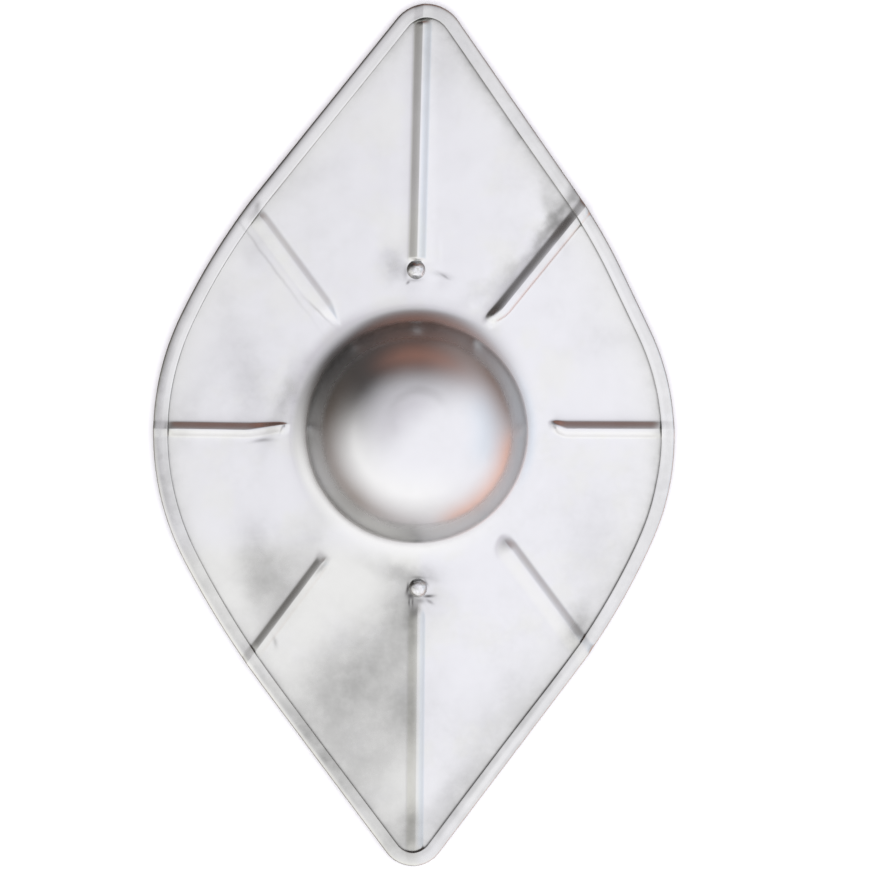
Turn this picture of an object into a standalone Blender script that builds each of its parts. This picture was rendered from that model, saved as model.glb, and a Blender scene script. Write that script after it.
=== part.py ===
"""Buckler: a small lozenge-shaped hand shield of sheet steel, lying on its back, boss upwards.

One sheet makes the plate, the raised boss, the eight embossed ridges and the folded rim hem.
Two domed rivets hold a strap grip behind the boss.
Metres, +Z up. The origin is under the middle of the shield, on the surface it lies on.
+Y runs along the shield to its upper tip.
"""

import math

import bpy
from mathutils import Vector

MM = 0.001
GAP = 0.3 * MM                  # clearance between pieces that touch

# The sheet
SHEET = 1.5 * MM
TAB_THICK = 2.0 * MM            # grip strap, which carries the shield when it lies down
BACK_Z = TAB_THICK + GAP        # underside of the plate
FACE_Z = BACK_Z + SHEET         # upper face of the plate

# Outline: the corners that its sides would meet at, anticlockwise from the upper tip,
# each with the radius that rounds it off: x, y, radius
CORNERS = (
    (9.0 * MM, 265.0 * MM, 22.0 * MM),
    (-116.0 * MM, 109.5 * MM, 380.0 * MM),
    (-169.5 * MM, -2.5 * MM, 158.0 * MM),
    (-113.0 * MM, -111.5 * MM, 540.0 * MM),
    (-0.5 * MM, -262.5 * MM, 19.0 * MM),
    (120.5 * MM, -102.5 * MM, 395.0 * MM),
    (166.0 * MM, 1.0 * MM, 146.0 * MM),
    (109.5 * MM, 119.5 * MM, 330.0 * MM),
)

# Rim hem, folded over onto the face
HEM_WIDTH = 8.2 * MM
FOLD_OUTER = SHEET + GAP / 2    # outer radius of the fold
FOLD_INNER = GAP / 2

# Boss: a spherical cap with a tight hollow root that runs out into the plate as a soft flare
BOSS = Vector((2.0 * MM, 1.7 * MM))
CAP_RADIUS = 72.0 * MM
ROOT_RADIUS = 6.0 * MM
FLARE_RADIUS = 26.0 * MM
STEEPEST = math.radians(61.0)       # slope where cap and root meet
FLARE_SLOPE = math.radians(36.0)    # slope where root and flare meet
CAP_RINGS = 8
ROOT_RINGS = 2
FLARE_RINGS = 3

# Ridges: direction of the crest in degrees, sideways offset of the crest line from the boss
# centre (positive is to its left), where it starts from there, and its width on the left
# and on the right of the crest
RIDGES = (
    (-0.3, 3.0 * MM, 81.0 * MM, 4.2 * MM, 4.4 * MM),
    (50.9, 7.3 * MM, 81.0 * MM, 5.0 * MM, 5.0 * MM),
    (88.6, 2.8 * MM, 101.5 * MM, 5.2 * MM, 5.2 * MM),
    (126.6, -1.5 * MM, 83.0 * MM, 7.0 * MM, 4.2 * MM),
    (179.1, 0.0 * MM, 81.0 * MM, 4.2 * MM, 4.4 * MM),
    (233.0, 1.5 * MM, 90.0 * MM, 5.0 * MM, 4.6 * MM),
    (269.5, 0.9 * MM, 97.5 * MM, 5.2 * MM, 5.2 * MM),
    (306.8, 3.1 * MM, 81.0 * MM, 5.0 * MM, 4.6 * MM),
)
RIDGE_HEIGHT = 3.0 * MM
RIDGE_TAPER = 12.0 * MM         # length over which a ridge rises from its pointed start
TIP_NARROWING = 0.25            # width at the pointed start, as a share of the full width

# Rivets and grip
RIVET_UPPER = Vector((1.5 * MM, 95.9 * MM))
RIVET_LOWER = Vector((2.6 * MM, -88.6 * MM))
HEAD_RADIUS = 5.4 * MM
HEAD_HEIGHT = 2.9 * MM
SHANK_RADIUS = 2.4 * MM
HOLE_RADIUS = SHANK_RADIUS + GAP
TAIL_SINK = 0.1 * MM            # the peened tail ends this far inside the strap
HEAD_RINGS = 4
ROUND_SIDES = 20

STRAP_WIDTH = 24.0 * MM         # across the flat ends
TAB_REACH = 12.0 * MM           # from the rivet to the end of the strap
CURL_START = 67.0 * MM          # from the boss centre to where the strap starts to curl
CURL_LENGTH = 20.0 * MM         # over which flat strap becomes a rolled handle
HANDLE_WIDTH = 26.0 * MM
HANDLE_DEPTH = 16.0 * MM
HANDLE_LIFT = 0.8 * MM          # underside of the handle above the flat ends
SEAM_GAP = 5.0 * MM             # between the rolled edges, on the side of the boss
CURL_STEPS = 5
CURVE_STEPS = 12

# How finely the sheet is faceted
SPOKE_STEP = math.radians(5.6)  # largest angle between two sections of the shield
TIP_SPOKES = (2.6, 4.6)         # extra sections on each side of the two tips' crests, degrees
UPPER_TIP, LOWER_TIP = 2, 6     # the rows of RIDGES whose crests run to the tips
FLAT_RINGS = (0.35, 0.7, 1.0)   # rings between a ridge's full height and the hem's edge
INNER_FOLD_STEPS = 2
OUTER_FOLD_STEPS = 4


# ---------------------------------------------------------------- outline

def rounded_corner(index):
    """Centre and radius of one corner's arc, and the outward normals of its two sides."""
    x, y, radius = CORNERS[index]
    point = Vector((x, y))
    back = (Vector(CORNERS[index - 1][:2]) - point).normalized()
    ahead = (Vector(CORNERS[(index + 1) % len(CORNERS)][:2]) - point).normalized()
    half = back.angle(ahead) / 2
    centre = point + (back + ahead).normalized() * (radius / math.sin(half))
    normal_in = Vector((-back.y, back.x))
    normal_out = Vector((ahead.y, -ahead.x))
    return centre, radius, normal_in, normal_out


ARCS = [rounded_corner(index) for index in range(len(CORNERS))]


LONGEST_REACH = 300.0 * MM
REACH_HALVINGS = 40


def inset(point):
    """Distance from a point inside the outline to the nearest part of it."""
    nearest = math.inf
    for centre, radius, normal_in, normal_out in ARCS:
        away = point - centre
        if normal_in.cross(away) >= 0 and away.cross(normal_out) >= 0:
            nearest = min(nearest, radius - away.length)
        start = centre + normal_out * radius
        nearest = min(nearest, (start - point).dot(normal_out))
    return nearest


def reach(start, direction, wanted):
    """The point along a ray where the outline is a wanted distance away."""
    near, far = 0.0, LONGEST_REACH
    for _ in range(REACH_HALVINGS):
        middle = (near + far) / 2
        if inset(start + direction * middle) > wanted:
            near = middle
        else:
            far = middle
    return start + direction * near


# ---------------------------------------------------------------- sections of the sheet

def boss_profile():
    """Radius, height over the plate and slope of the boss's outer skin, from the top down."""
    flare_height = FLARE_RADIUS * (1 - math.cos(FLARE_SLOPE))
    root_height = flare_height + ROOT_RADIUS * (math.cos(FLARE_SLOPE) - math.cos(STEEPEST))
    cap_top = root_height + CAP_RADIUS * (1 - math.cos(STEEPEST))
    root_edge = CAP_RADIUS * math.sin(STEEPEST) + ROOT_RADIUS * (math.sin(STEEPEST) - math.sin(FLARE_SLOPE))
    flare_edge = root_edge + FLARE_RADIUS * math.sin(FLARE_SLOPE)
    rings = []
    for k in range(1, CAP_RINGS + 1):
        slope = STEEPEST * k / CAP_RINGS
        rings.append((CAP_RADIUS * math.sin(slope), cap_top - CAP_RADIUS * (1 - math.cos(slope)), slope))
    for k in range(1, ROOT_RINGS + 1):
        slope = STEEPEST + (FLARE_SLOPE - STEEPEST) * k / ROOT_RINGS
        radius = root_edge - ROOT_RADIUS * (math.sin(slope) - math.sin(FLARE_SLOPE))
        height = flare_height + ROOT_RADIUS * (math.cos(FLARE_SLOPE) - math.cos(slope))
        rings.append((radius, height, slope))
    for k in range(1, FLARE_RINGS + 1):
        slope = FLARE_SLOPE * (1 - k / FLARE_RINGS)
        radius = flare_edge - FLARE_RADIUS * math.sin(slope)
        rings.append((radius, FLARE_RADIUS * (1 - math.cos(slope)), slope))
    return cap_top, rings


BOSS_TOP, BOSS_RINGS = boss_profile()


def unit(degrees):
    return Vector((math.cos(math.radians(degrees)), math.sin(math.radians(degrees))))


def left_of(direction):
    return Vector((-direction.y, direction.x))


def ridge_spokes(ridge):
    """The three sections that carry one ridge: right foot, crest and left foot."""
    degrees, offset, start, left_width, right_width = ridge
    along = unit(degrees)
    across = left_of(along)
    spokes = []
    for side, lift in ((-right_width, 0.0), (0.0, RIDGE_HEIGHT), (left_width, 0.0)):
        tip = BOSS + across * (offset + side * TIP_NARROWING) + along * start
        full = BOSS + across * (offset + side) + along * (start + RIDGE_TAPER)
        angle = math.atan2((tip - BOSS).y, (tip - BOSS).x)
        spokes.append({"angle": angle, "tip": tip, "full": full, "direction": along, "lift": lift})
    return spokes


def plain_spoke(angle, before, after):
    """A section between two ridges, its rings blended from those of its neighbours."""
    share = (angle - before["angle"]) / (after["angle"] - before["angle"])
    along = Vector((math.cos(angle), math.sin(angle)))
    radii = []
    for key in ("tip", "full"):
        first = (before[key] - BOSS).length
        last = (after[key] - BOSS).length
        radii.append(first + (last - first) * share)
    return {"angle": angle, "tip": BOSS + along * radii[0], "full": BOSS + along * radii[1],
            "direction": along, "lift": 0.0}


def all_spokes():
    """Every section of the shield, anticlockwise round the boss."""
    groups = [ridge_spokes(ridge) for ridge in RIDGES]
    spokes = []
    for index, group in enumerate(groups):
        spokes += group
        following = groups[(index + 1) % len(groups)]
        before = dict(group[1])
        after = dict(following[1])
        while after["angle"] < before["angle"]:
            after["angle"] += 2 * math.pi
        span = after["angle"] - before["angle"]
        count = math.ceil(span / SPOKE_STEP)
        angles = {before["angle"] + span * k / count for k in range(1, count)}
        for degrees in TIP_SPOKES:
            if index in (UPPER_TIP, LOWER_TIP):
                angles.add(before["angle"] + math.radians(degrees))
            if index + 1 in (UPPER_TIP, LOWER_TIP):
                angles.add(after["angle"] - math.radians(degrees))
        spokes += [plain_spoke(angle, before, after) for angle in sorted(angles)]
    return spokes


def on_plate(point, height):
    return Vector((point.x, point.y, height))


def plate_rings(spoke):
    """Plan position and ridge lift of the plate's rings, from the boss to the hem's edge."""
    hem_edge = reach(spoke["full"], spoke["direction"], HEM_WIDTH)
    lift = spoke["lift"]
    rings = [(spoke["tip"], 0.0), (spoke["full"], lift)]
    for share in FLAT_RINGS:
        rings.append((spoke["full"].lerp(hem_edge, share), lift))
    return rings


def hem_profile():
    """Inset from the rim and height over the plate's underside, from under the hem and round."""
    arcs = []
    for radius, steps in ((FOLD_INNER, INNER_FOLD_STEPS), (FOLD_OUTER, OUTER_FOLD_STEPS)):
        turns = [math.pi * (k / steps - 0.5) for k in range(steps + 1)]
        arcs.append([(FOLD_OUTER - radius * math.cos(turn), FOLD_OUTER + radius * math.sin(turn))
                     for turn in turns])
    hem_edge = [(HEM_WIDTH, SHEET + GAP), (HEM_WIDTH, 2 * SHEET + GAP)]
    return arcs[0] + hem_edge + arcs[1][::-1]


def section(spoke):
    """One closed path through the sheet: over the face, round the hem and back underneath."""
    around = Vector((math.cos(spoke["angle"]), math.sin(spoke["angle"])))
    outer, inner = [], []
    for radius, height, slope in BOSS_RINGS:
        outer.append(on_plate(BOSS + around * radius, FACE_Z + height))
        radius_in = radius - SHEET * math.sin(slope)
        height_in = height - SHEET * math.cos(slope)
        inner.append(on_plate(BOSS + around * radius_in, FACE_Z + height_in))
    for point, lift in plate_rings(spoke):
        outer.append(on_plate(point, FACE_Z + lift))
        inner.append(on_plate(point, BACK_Z + lift))
    rim = []
    for depth, height in hem_profile():
        point = reach(spoke["full"], spoke["direction"], depth)
        rim.append(on_plate(point, BACK_Z + height + spoke["lift"]))
    return outer + rim + inner[::-1]


# ---------------------------------------------------------------- meshes

def finish_mesh(name, vertices, faces, material, sharp_degrees=25.0):
    mesh = bpy.data.meshes.new(name)
    mesh.from_pydata([tuple(v) for v in vertices], [], faces)
    mesh.shade_smooth()
    mesh.set_sharp_from_angle(angle=math.radians(sharp_degrees))
    mesh.materials.append(material)
    obj = bpy.data.objects.new(name, mesh)
    bpy.context.scene.collection.objects.link(obj)
    return obj


def loft(sections, closed):
    """Quads between neighbouring sections that all have the same number of points."""
    count = len(sections[0])
    faces = []
    last = len(sections) if closed else len(sections) - 1
    for i in range(last):
        j = (i + 1) % len(sections)
        for k in range(count - 1 if closed else count):
            m = (k + 1) % count
            faces.append((i * count + k, i * count + m, j * count + m, j * count + k))
    return faces


def steel(name, colour, roughness):
    material = bpy.data.materials.new(name)
    material.use_nodes = True
    shader = material.node_tree.nodes["Principled BSDF"]
    shader.inputs["Base Color"].default_value = (*colour, 1.0)
    shader.inputs["Metallic"].default_value = 1.0
    shader.inputs["Roughness"].default_value = roughness
    return material


def shield_plate(material):
    """The plate, boss, ridges and hem: one sheet."""
    sections = [section(spoke) for spoke in all_spokes()]
    count = len(sections[0])
    vertices = [point for path in sections for point in path]
    faces = loft(sections, closed=True)
    top = len(vertices)
    vertices.append(on_plate(BOSS, FACE_Z + BOSS_TOP))
    vertices.append(on_plate(BOSS, FACE_Z + BOSS_TOP - SHEET))
    for i in range(len(sections)):
        j = (i + 1) % len(sections)
        faces.append((top, i * count, j * count))
        faces.append((top + 1, j * count + count - 1, i * count + count - 1))
    return finish_mesh("shield_plate", vertices, faces, material)


def turned(name, spot, profile, material, sides=ROUND_SIDES):
    """A closed turned solid on a vertical axis; the profile runs from the foot up."""
    vertices = [on_plate(spot, profile[0][1])]
    for radius, height in profile[1:-1]:
        for k in range(sides):
            vertices.append(on_plate(spot + unit(360.0 * k / sides) * radius, height))
    vertices.append(on_plate(spot, profile[-1][1]))
    faces = []
    rings = len(profile) - 2
    for k in range(sides):
        m = (k + 1) % sides
        faces.append((0, 1 + m, 1 + k))
        for ring in range(rings - 1):
            low = 1 + ring * sides
            faces.append((low + k, low + m, low + sides + m, low + sides + k))
        high = 1 + (rings - 1) * sides
        faces.append((high + k, high + m, len(vertices) - 1))
    mesh_material = material or steel(f"{name}_cutter", (0.5, 0.5, 0.5), 0.5)
    return finish_mesh(name, vertices, faces, mesh_material)


def drill(obj, spots, depth_from, depth_to):
    """Cut round holes down through a piece."""
    for index, spot in enumerate(spots):
        cutter = turned(f"{obj.name}_hole_{index}", spot,
                        [(0.0, depth_from), (HOLE_RADIUS, depth_from),
                         (HOLE_RADIUS, depth_to), (0.0, depth_to)], None)
        cutter.hide_render = True
        cutter.display_type = "WIRE"
        cut = obj.modifiers.new(cutter.name, "BOOLEAN")
        cut.operation = "DIFFERENCE"
        cut.object = cutter


def rivet(name, spot, material):
    """A domed head on the face and a plain shank through sheet and strap, peened flush."""
    head_base = FACE_Z + GAP
    profile = [(0.0, TAIL_SINK), (SHANK_RADIUS, TAIL_SINK), (SHANK_RADIUS, head_base),
               (HEAD_RADIUS, head_base)]
    dome = (HEAD_RADIUS ** 2 + HEAD_HEIGHT ** 2) / (2 * HEAD_HEIGHT)
    widest = math.asin(HEAD_RADIUS / dome)
    for k in range(1, HEAD_RINGS + 1):
        slope = widest * (1 - k / HEAD_RINGS)
        height = head_base + HEAD_HEIGHT - dome * (1 - math.cos(slope))
        profile.append((dome * math.sin(slope), height))
    return turned(name, spot, profile, material)


# ---------------------------------------------------------------- grip

def strap_curve(curl):
    """Mid-line of the strap's cross-section, x and z, from flat (0) to rolled (1)."""
    mid_width = HANDLE_WIDTH - TAB_THICK
    mid_depth = HANDLE_DEPTH - TAB_THICK
    half_turn = math.pi - math.asin(SEAM_GAP / mid_width)
    points = []
    for k in range(CURVE_STEPS + 1):
        share = 2 * k / CURVE_STEPS - 1
        flat_x = share * STRAP_WIDTH / 2
        turn = share * half_turn
        rolled_x = mid_width / 2 * math.sin(turn)
        rolled_z = mid_depth / 2 * (1 - math.cos(turn)) + HANDLE_LIFT
        points.append(Vector((flat_x * (1 - curl) + rolled_x * curl, rolled_z * curl)))
    return points


def thick_outline(line, thickness):
    """Closed outline round an open line, half the thickness on each side."""
    below, above = [], []
    for k, point in enumerate(line):
        ahead = line[min(k + 1, len(line) - 1)]
        behind = line[max(k - 1, 0)]
        normal = left_of((ahead - behind).normalized())
        below.append(point - normal * thickness / 2)
        above.append(point + normal * thickness / 2)
    return below + above[::-1]


def smooth(share):
    share = min(max(share, 0.0), 1.0)
    return share * share * (3 - 2 * share)


def hand_grip(material):
    """A strap riveted flat at both ends, its middle rolled forward into a handle."""
    top = RIVET_UPPER.y + TAB_REACH
    bottom = RIVET_LOWER.y - TAB_REACH
    curl_top = BOSS.y + CURL_START
    curl_bottom = BOSS.y - CURL_START
    steps = [CURL_LENGTH * k / CURL_STEPS for k in range(CURL_STEPS + 1)]
    stations = [top] + [curl_top - step for step in steps] + [BOSS.y]
    stations += [curl_bottom + step for step in reversed(steps)] + [bottom]
    sections = []
    for y in stations:
        curl = smooth(min(curl_top - y, y - curl_bottom) / CURL_LENGTH)
        share = (y - RIVET_LOWER.y) / (RIVET_UPPER.y - RIVET_LOWER.y)
        middle = RIVET_LOWER.x + (RIVET_UPPER.x - RIVET_LOWER.x) * share
        line = strap_curve(curl)
        outline = thick_outline(line, TAB_THICK)
        sections.append([Vector((middle + p.x, y, p.y + TAB_THICK / 2)) for p in outline])
    count = len(sections[0])
    vertices = [point for path in sections for point in path]
    faces = loft(sections, closed=False)
    half = count // 2
    for first, turn_round in ((0, True), (len(vertices) - count, False)):
        for k in range(half - 1):
            quad = (first + k, first + k + 1, first + count - 2 - k, first + count - 1 - k)
            faces.append(quad[::-1] if turn_round else quad)
    return finish_mesh("hand_grip", vertices, faces, material)


# ---------------------------------------------------------------- the shield

def main():
    for obj in list(bpy.data.objects):
        bpy.data.objects.remove(obj, do_unlink=True)
    polished = steel("polished_sheet_steel", (0.80, 0.80, 0.82), 0.18)
    forged = steel("grip_steel", (0.55, 0.55, 0.57), 0.38)
    rivet_steel = steel("rivet_steel", (0.74, 0.74, 0.76), 0.24)
    plate = shield_plate(polished)
    grip = hand_grip(forged)
    spots = (RIVET_UPPER, RIVET_LOWER)
    drill(plate, spots, BACK_Z - 2 * SHEET, FACE_Z + 2 * SHEET)
    drill(grip, spots, -TAB_THICK, 2 * TAB_THICK)
    rivet("rivet_upper", RIVET_UPPER, rivet_steel)
    rivet("rivet_lower", RIVET_LOWER, rivet_steel)


main()
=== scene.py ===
"""Looks of the steel buckler: the embossed sheet, its rivets and hand grip, and the studio.

Run in Blender after the part is packed. Everything is in metres, in the part's own frame:
+Z up out of the boss, +Y to the upper tip, the shield lying on its back.
"""

import math

import bpy
import numpy as np
from bpy.props import FloatProperty, FloatVectorProperty, IntProperty, PointerProperty
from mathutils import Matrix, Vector


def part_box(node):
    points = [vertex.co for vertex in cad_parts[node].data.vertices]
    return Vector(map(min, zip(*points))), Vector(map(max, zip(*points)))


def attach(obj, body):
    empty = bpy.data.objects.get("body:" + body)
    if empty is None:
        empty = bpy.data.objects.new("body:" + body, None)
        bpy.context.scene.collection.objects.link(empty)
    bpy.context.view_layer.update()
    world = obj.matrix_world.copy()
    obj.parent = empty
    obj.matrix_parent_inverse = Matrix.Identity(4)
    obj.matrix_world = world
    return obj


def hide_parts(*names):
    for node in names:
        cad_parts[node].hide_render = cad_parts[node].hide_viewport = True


bl_info = {
    "name": "Steel Buckler",
    "version": (1, 0, 0),
    "blender": (4, 5, 0),
    "location": "View3D > Sidebar > Buckler",
    "description": "Builds the polished steel buckler, its grip and rivets, and a studio",
    "category": "Object",
}

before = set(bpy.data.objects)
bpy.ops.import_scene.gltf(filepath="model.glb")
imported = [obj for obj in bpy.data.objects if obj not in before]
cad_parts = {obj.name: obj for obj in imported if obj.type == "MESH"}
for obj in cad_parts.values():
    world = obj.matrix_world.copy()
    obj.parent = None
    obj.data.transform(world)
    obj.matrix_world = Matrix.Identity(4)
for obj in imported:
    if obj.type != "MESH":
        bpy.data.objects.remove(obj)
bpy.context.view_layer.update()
GRIP_LOW, GRIP_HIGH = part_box("hand_grip")
RIVET_NODES = ("rivet_upper", "rivet_lower")

MM = 0.001
GAP = 0.3 * MM
BACK_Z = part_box("shield_plate")[0].z    # underside of the plate
BOSS_CENTRE = np.array((2.0, 1.7)) * MM

# Corners that the sides of the outline would meet at, anticlockwise from the upper tip,
# each with the radius that rounds it off: x, y, radius
CORNERS = np.array((
    (9.0, 265.0, 22.0), (-116.0, 109.5, 380.0), (-169.5, -2.5, 158.0), (-113.0, -111.5, 540.0),
    (-0.5, -262.5, 19.0), (120.5, -102.5, 395.0), (166.0, 1.0, 146.0), (109.5, 119.5, 330.0),
)) * MM
RIM_MARGIN = 0.1 * MM                   # keeps the smooth rim inside the faceted one

# Pressed ridges, with lengths in mm: name; direction in degrees, sideways offset from the boss
# centre, distance to the start, length over which it rises, height; how far its start bends to the
# left and over what length it bends and tapers; the share of its height that goes on over the hem,
# and where it begins and stops sinking to that, past the seam; then for the left and the right side
# of the crest: width, bulge (1 is flat, 2 is round), softness of the foot, how much of the height
# spreads out as a soft skirt, and the width at the start as a share
RIDGES = (
    ("right", (-0.3, 2.5, 75.5, 7.0, 3.1), (3.6, 12.0), (0.35, -5.0, 4.0),
     (4.8, 1.0, 0.16, 0.28, 0.28), (5.4, 1.65, 0.40, 0.10, 1.00)),
    ("upper right", (50.9, 6.6, 73.0, 8.0, 3.2), (2.8, 15.0), (0.80, -5.0, 4.0),
     (5.3, 1.0, 0.16, 0.32, 0.45), (5.2, 2.2, 0.13, 0.05, 0.90)),
    ("upper", (88.6, 2.3, 99.2, 1.3, 3.7), (0.0, 1.3), (0.30, -4.0, 0.5),
     (5.2, 1.0, 0.16, 0.20, 1.00), (5.4, 1.2, 0.30, 0.32, 1.00)),
    ("upper left", (126.6, -1.5, 75.0, 15.0, 2.7), (0.0, 17.0), (0.30, -5.0, 4.0),
     (7.4, 1.1, 0.10, 0.05, 0.10), (4.5, 1.1, 0.45, 0.05, 0.10)),
    ("left", (179.1, 0.2, 74.0, 6.0, 3.1), (-3.6, 26.0), (0.30, -5.0, 4.0),
     (4.8, 1.4, 0.40, 0.10, 1.00), (4.5, 1.0, 0.16, 0.28, 0.22)),
    ("lower left", (233.0, 1.7, 87.0, 8.0, 2.9), (0.0, 8.0), (0.50, -5.0, 4.0),
     (4.7, 1.5, 0.30, 0.10, 1.45), (4.5, 1.0, 0.16, 0.30, 1.45)),
    ("lower", (269.5, 1.2, 97.5, 10.0, 2.9), (0.0, 10.0), (0.25, -5.0, 4.0),
     (4.9, 1.4, 0.30, 0.10, 0.70), (5.4, 1.0, 0.16, 0.20, 0.70)),
    ("lower right", (306.8, 2.9, 74.5, 13.5, 3.8), (0.0, 13.5), (0.75, -5.0, 4.0),
     (5.3, 1.15, 0.35, 0.05, 0.90), (8.9, 1.1, 0.35, 0.10, 0.60)),
)
SKIRT = 5.0 * MM                        # how far the skirt of a ridge spreads

# Sections of the sheet that run along a ridge, as shares of its width on that side
RIDGE_LINES = (0.03, 0.08, 0.2, 0.35, 0.5, 0.65, 0.8, 0.92, 1.04, 1.18, 1.42, 1.8)


# ---------------------------------------------------------------- properties

def length(name, default, description):
    return FloatProperty(name=name, default=default, description=description,
                         unit="LENGTH", precision=5, min=0.0)


def angle(name, degrees, description):
    return FloatProperty(name=name, default=math.radians(degrees), description=description,
                         unit="ROTATION", min=0.0)


def colour(name, default, description):
    return FloatVectorProperty(name=name, default=default, description=description,
                               subtype="COLOR", size=3, min=0.0, max=4.0)


class SheetSizes(bpy.types.PropertyGroup):
    thickness: length("Sheet thickness", 1.5 * MM, "Thickness of the steel sheet")
    hem_width: length("Hem width", 8.1 * MM, "Width of the folded rim on the face")
    cap_radius: length("Boss radius", 71.98 * MM, "Radius of the sphere that the boss is a cap of")
    root_radius: length("Root radius", 6.0 * MM, "Radius of the hollow where boss meets plate")
    flare_radius: length("Flare radius", 26.0 * MM, "Radius of the soft flare outside the root")
    steepest: angle("Boss slope", 61.0, "Steepest slope of the boss, where its root begins")
    flare_slope: angle("Flare slope", 36.0, "Slope where the root turns into the flare")
    ridge_height: FloatProperty(name="Ridge height", default=1.0, min=0.0, max=1.05, subtype="FACTOR",
                                description="Height of the pressed ridges, as a share of the full height")
    undulation: length("Undulation", 0.30 * MM, "Height of the soft waves left in the plate")
    seed: IntProperty(name="Seed", default=7, description="Picks one pattern of waves")


class RivetSizes(bpy.types.PropertyGroup):
    head_radius: length("Head radius", 5.4 * MM, "Radius of the domed head")
    head_height: length("Head height", 2.9 * MM, "Height of the domed head")
    shank_radius: length("Shank radius", 2.4 * MM, "Radius of the shank")
    hammering: length("Hammering", 0.5 * MM, "How unevenly the heads are hammered")
    seed: IntProperty(name="Seed", default=3, description="Picks one pattern of hammering")


class GripSizes(bpy.types.PropertyGroup):
    thickness: length("Strap thickness", 2.0 * MM, "Thickness of the grip strap")
    strap_width: length("Strap width", 24.0 * MM, "Width of the strap's flat ends")
    handle_width: length("Handle width", 26.0 * MM, "Width of the rolled handle")
    handle_depth: length("Handle depth", 16.0 * MM, "Depth of the rolled handle")
    handle_lift: length("Handle lift", 0.8 * MM, "Handle's underside above the flat ends")
    seam_gap: length("Seam gap", 5.0 * MM, "Gap between the rolled edges")
    curl_start: length("Curl start", 67.0 * MM, "From the boss centre to where the strap curls")
    curl_length: length("Curl length", 20.0 * MM, "Length over which the strap curls")
    hole_radius: length("Hole radius", 2.7 * MM, "Radius of the rivet holes")
    hammering: length("Hammering", 0.5 * MM, "How unevenly the handle is hammered")
    seed: IntProperty(name="Seed", default=5, description="Picks one pattern of hammering")


class FinishColours(bpy.types.PropertyGroup):
    steel: colour("Polished steel", (0.509, 0.509, 0.511), "Clean polished steel")
    warm: colour("Warmer steel", (0.510, 0.511, 0.479), "Polished steel where it looks less blue")
    dull: colour("Dull steel", (0.40, 0.40, 0.38), "Steel where the polish is worn or stained")
    # Also the colour of the painted shade beside the seam and round the boss's root
    stain: colour("Stain", (0.13, 0.13, 0.1215), "Tarnish and handling marks on the face")
    # Also the colour of the painted shade in the seam, in small dents and on the rivet heads
    grime_and_shade: colour("Grime", (0.05, 0.047, 0.045), "Dirt in the seams")
    grip: colour("Grip steel", (0.38, 0.37, 0.36), "Plain steel of the grip strap")


class StudioLight(bpy.types.PropertyGroup):
    overhead: colour("Overhead light", (1.70, 1.69, 1.79), "Soft white light from above")
    low: colour("Below", (0.50, 0.47, 0.46), "Light from below the horizon")
    background: colour("Background", (0.93, 0.93, 0.93), "Plain background beyond the floor")
    floor: colour("Floor", (0.90, 0.90, 0.90), "Pale floor")


# ---------------------------------------------------------------- node trees

class Wiring:
    """A short way to add nodes to a tree and join them."""

    def __init__(self, tree):
        self.tree = tree

    def add(self, kind, values=None, **settings):
        node = self.tree.nodes.new(kind)
        for name, value in settings.items():
            setattr(node, name, value)
        for key, value in (values or {}).items():
            self.plug(value, node.inputs[key])
        return node

    def plug(self, value, socket):
        if isinstance(value, bpy.types.NodeSocket):
            self.tree.links.new(value, socket)
        else:
            socket.default_value = value

    def call(self, group, values, label=""):
        """Use a node group and give its output."""
        kind = "ShaderNodeGroup" if group.type == "SHADER" else "GeometryNodeGroup"
        return self.add(kind, values, node_tree=group, label=label).outputs[0]

    def give(self, value):
        """End a node group with its output, and give the finished group."""
        self.add("NodeGroupOutput", {0: value})
        return self.tree

    def math(self, operation, *values):
        return self.add("ShaderNodeMath", dict(enumerate(values)), operation=operation).outputs[0]

    def vector(self, operation, *values):
        node = self.add("ShaderNodeVectorMath", dict(enumerate(values)), operation=operation)
        return node.outputs["Value" if operation in ("DOT_PRODUCT", "LENGTH") else "Vector"]

    def times(self, product, *values):
        for value in values:
            product = self.math("MULTIPLY", product, value)
        return product

    def plus(self, first, second):
        return self.math("ADD", first, second)

    def minus(self, first, second):
        return self.math("SUBTRACT", first, second)

    def scaled(self, value, factor, base):
        return self.math("MULTIPLY_ADD", value, factor, base)

    def bell(self, value):
        """One at zero, falling away softly on both sides."""
        return self.math("EXPONENT", self.times(value, value, -1.0))

    def flat(self, place):
        """A place dropped onto the plane that the shield lies on."""
        return self.vector("MULTIPLY", place, (1.0, 1.0, 0.0))

    def parts(self, vector):
        return self.add("ShaderNodeSeparateXYZ", {0: vector}).outputs

    def turned(self, vector, angle):
        """A vector turned about the vertical, in its three parts."""
        node = self.add("ShaderNodeVectorRotate", {"Vector": vector, "Angle": angle},
                        rotation_type="Z_AXIS")
        return self.parts(node.outputs[0])

    def noise(self, place, scale, detail, roughness=0.5, **seed):
        """Soft noise, in four dimensions where a seed is given as W."""
        values = {"Vector": place, "Scale": scale, "Detail": detail, "Roughness": roughness, **seed}
        return self.add("ShaderNodeTexNoise", values, noise_dimensions="4D" if seed else "3D").outputs

    def ramp(self, value, low, high, to_low=0.0, to_high=1.0):
        """A smooth step from one value to another."""
        keys = ("Value", "From Min", "From Max", "To Min", "To Max")
        return self.add("ShaderNodeMapRange", dict(zip(keys, (value, low, high, to_low, to_high))),
                        interpolation_type="SMOOTHSTEP").outputs["Result"]

    def mix(self, factor, first, second):
        node = self.add("ShaderNodeMix", {"Factor": factor}, data_type="RGBA")
        for key, value in (("A", first), ("B", second)):
            if not isinstance(value, bpy.types.NodeSocket):
                value = opaque(value)
            self.plug(value, [s for s in node.inputs if s.name == key and s.type == "RGBA"][0])
        return [s for s in node.outputs if s.type == "RGBA"][0]


def opaque(rgb):
    return (*rgb, 1.0)


# ---------------------------------------------------------------- outline

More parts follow.
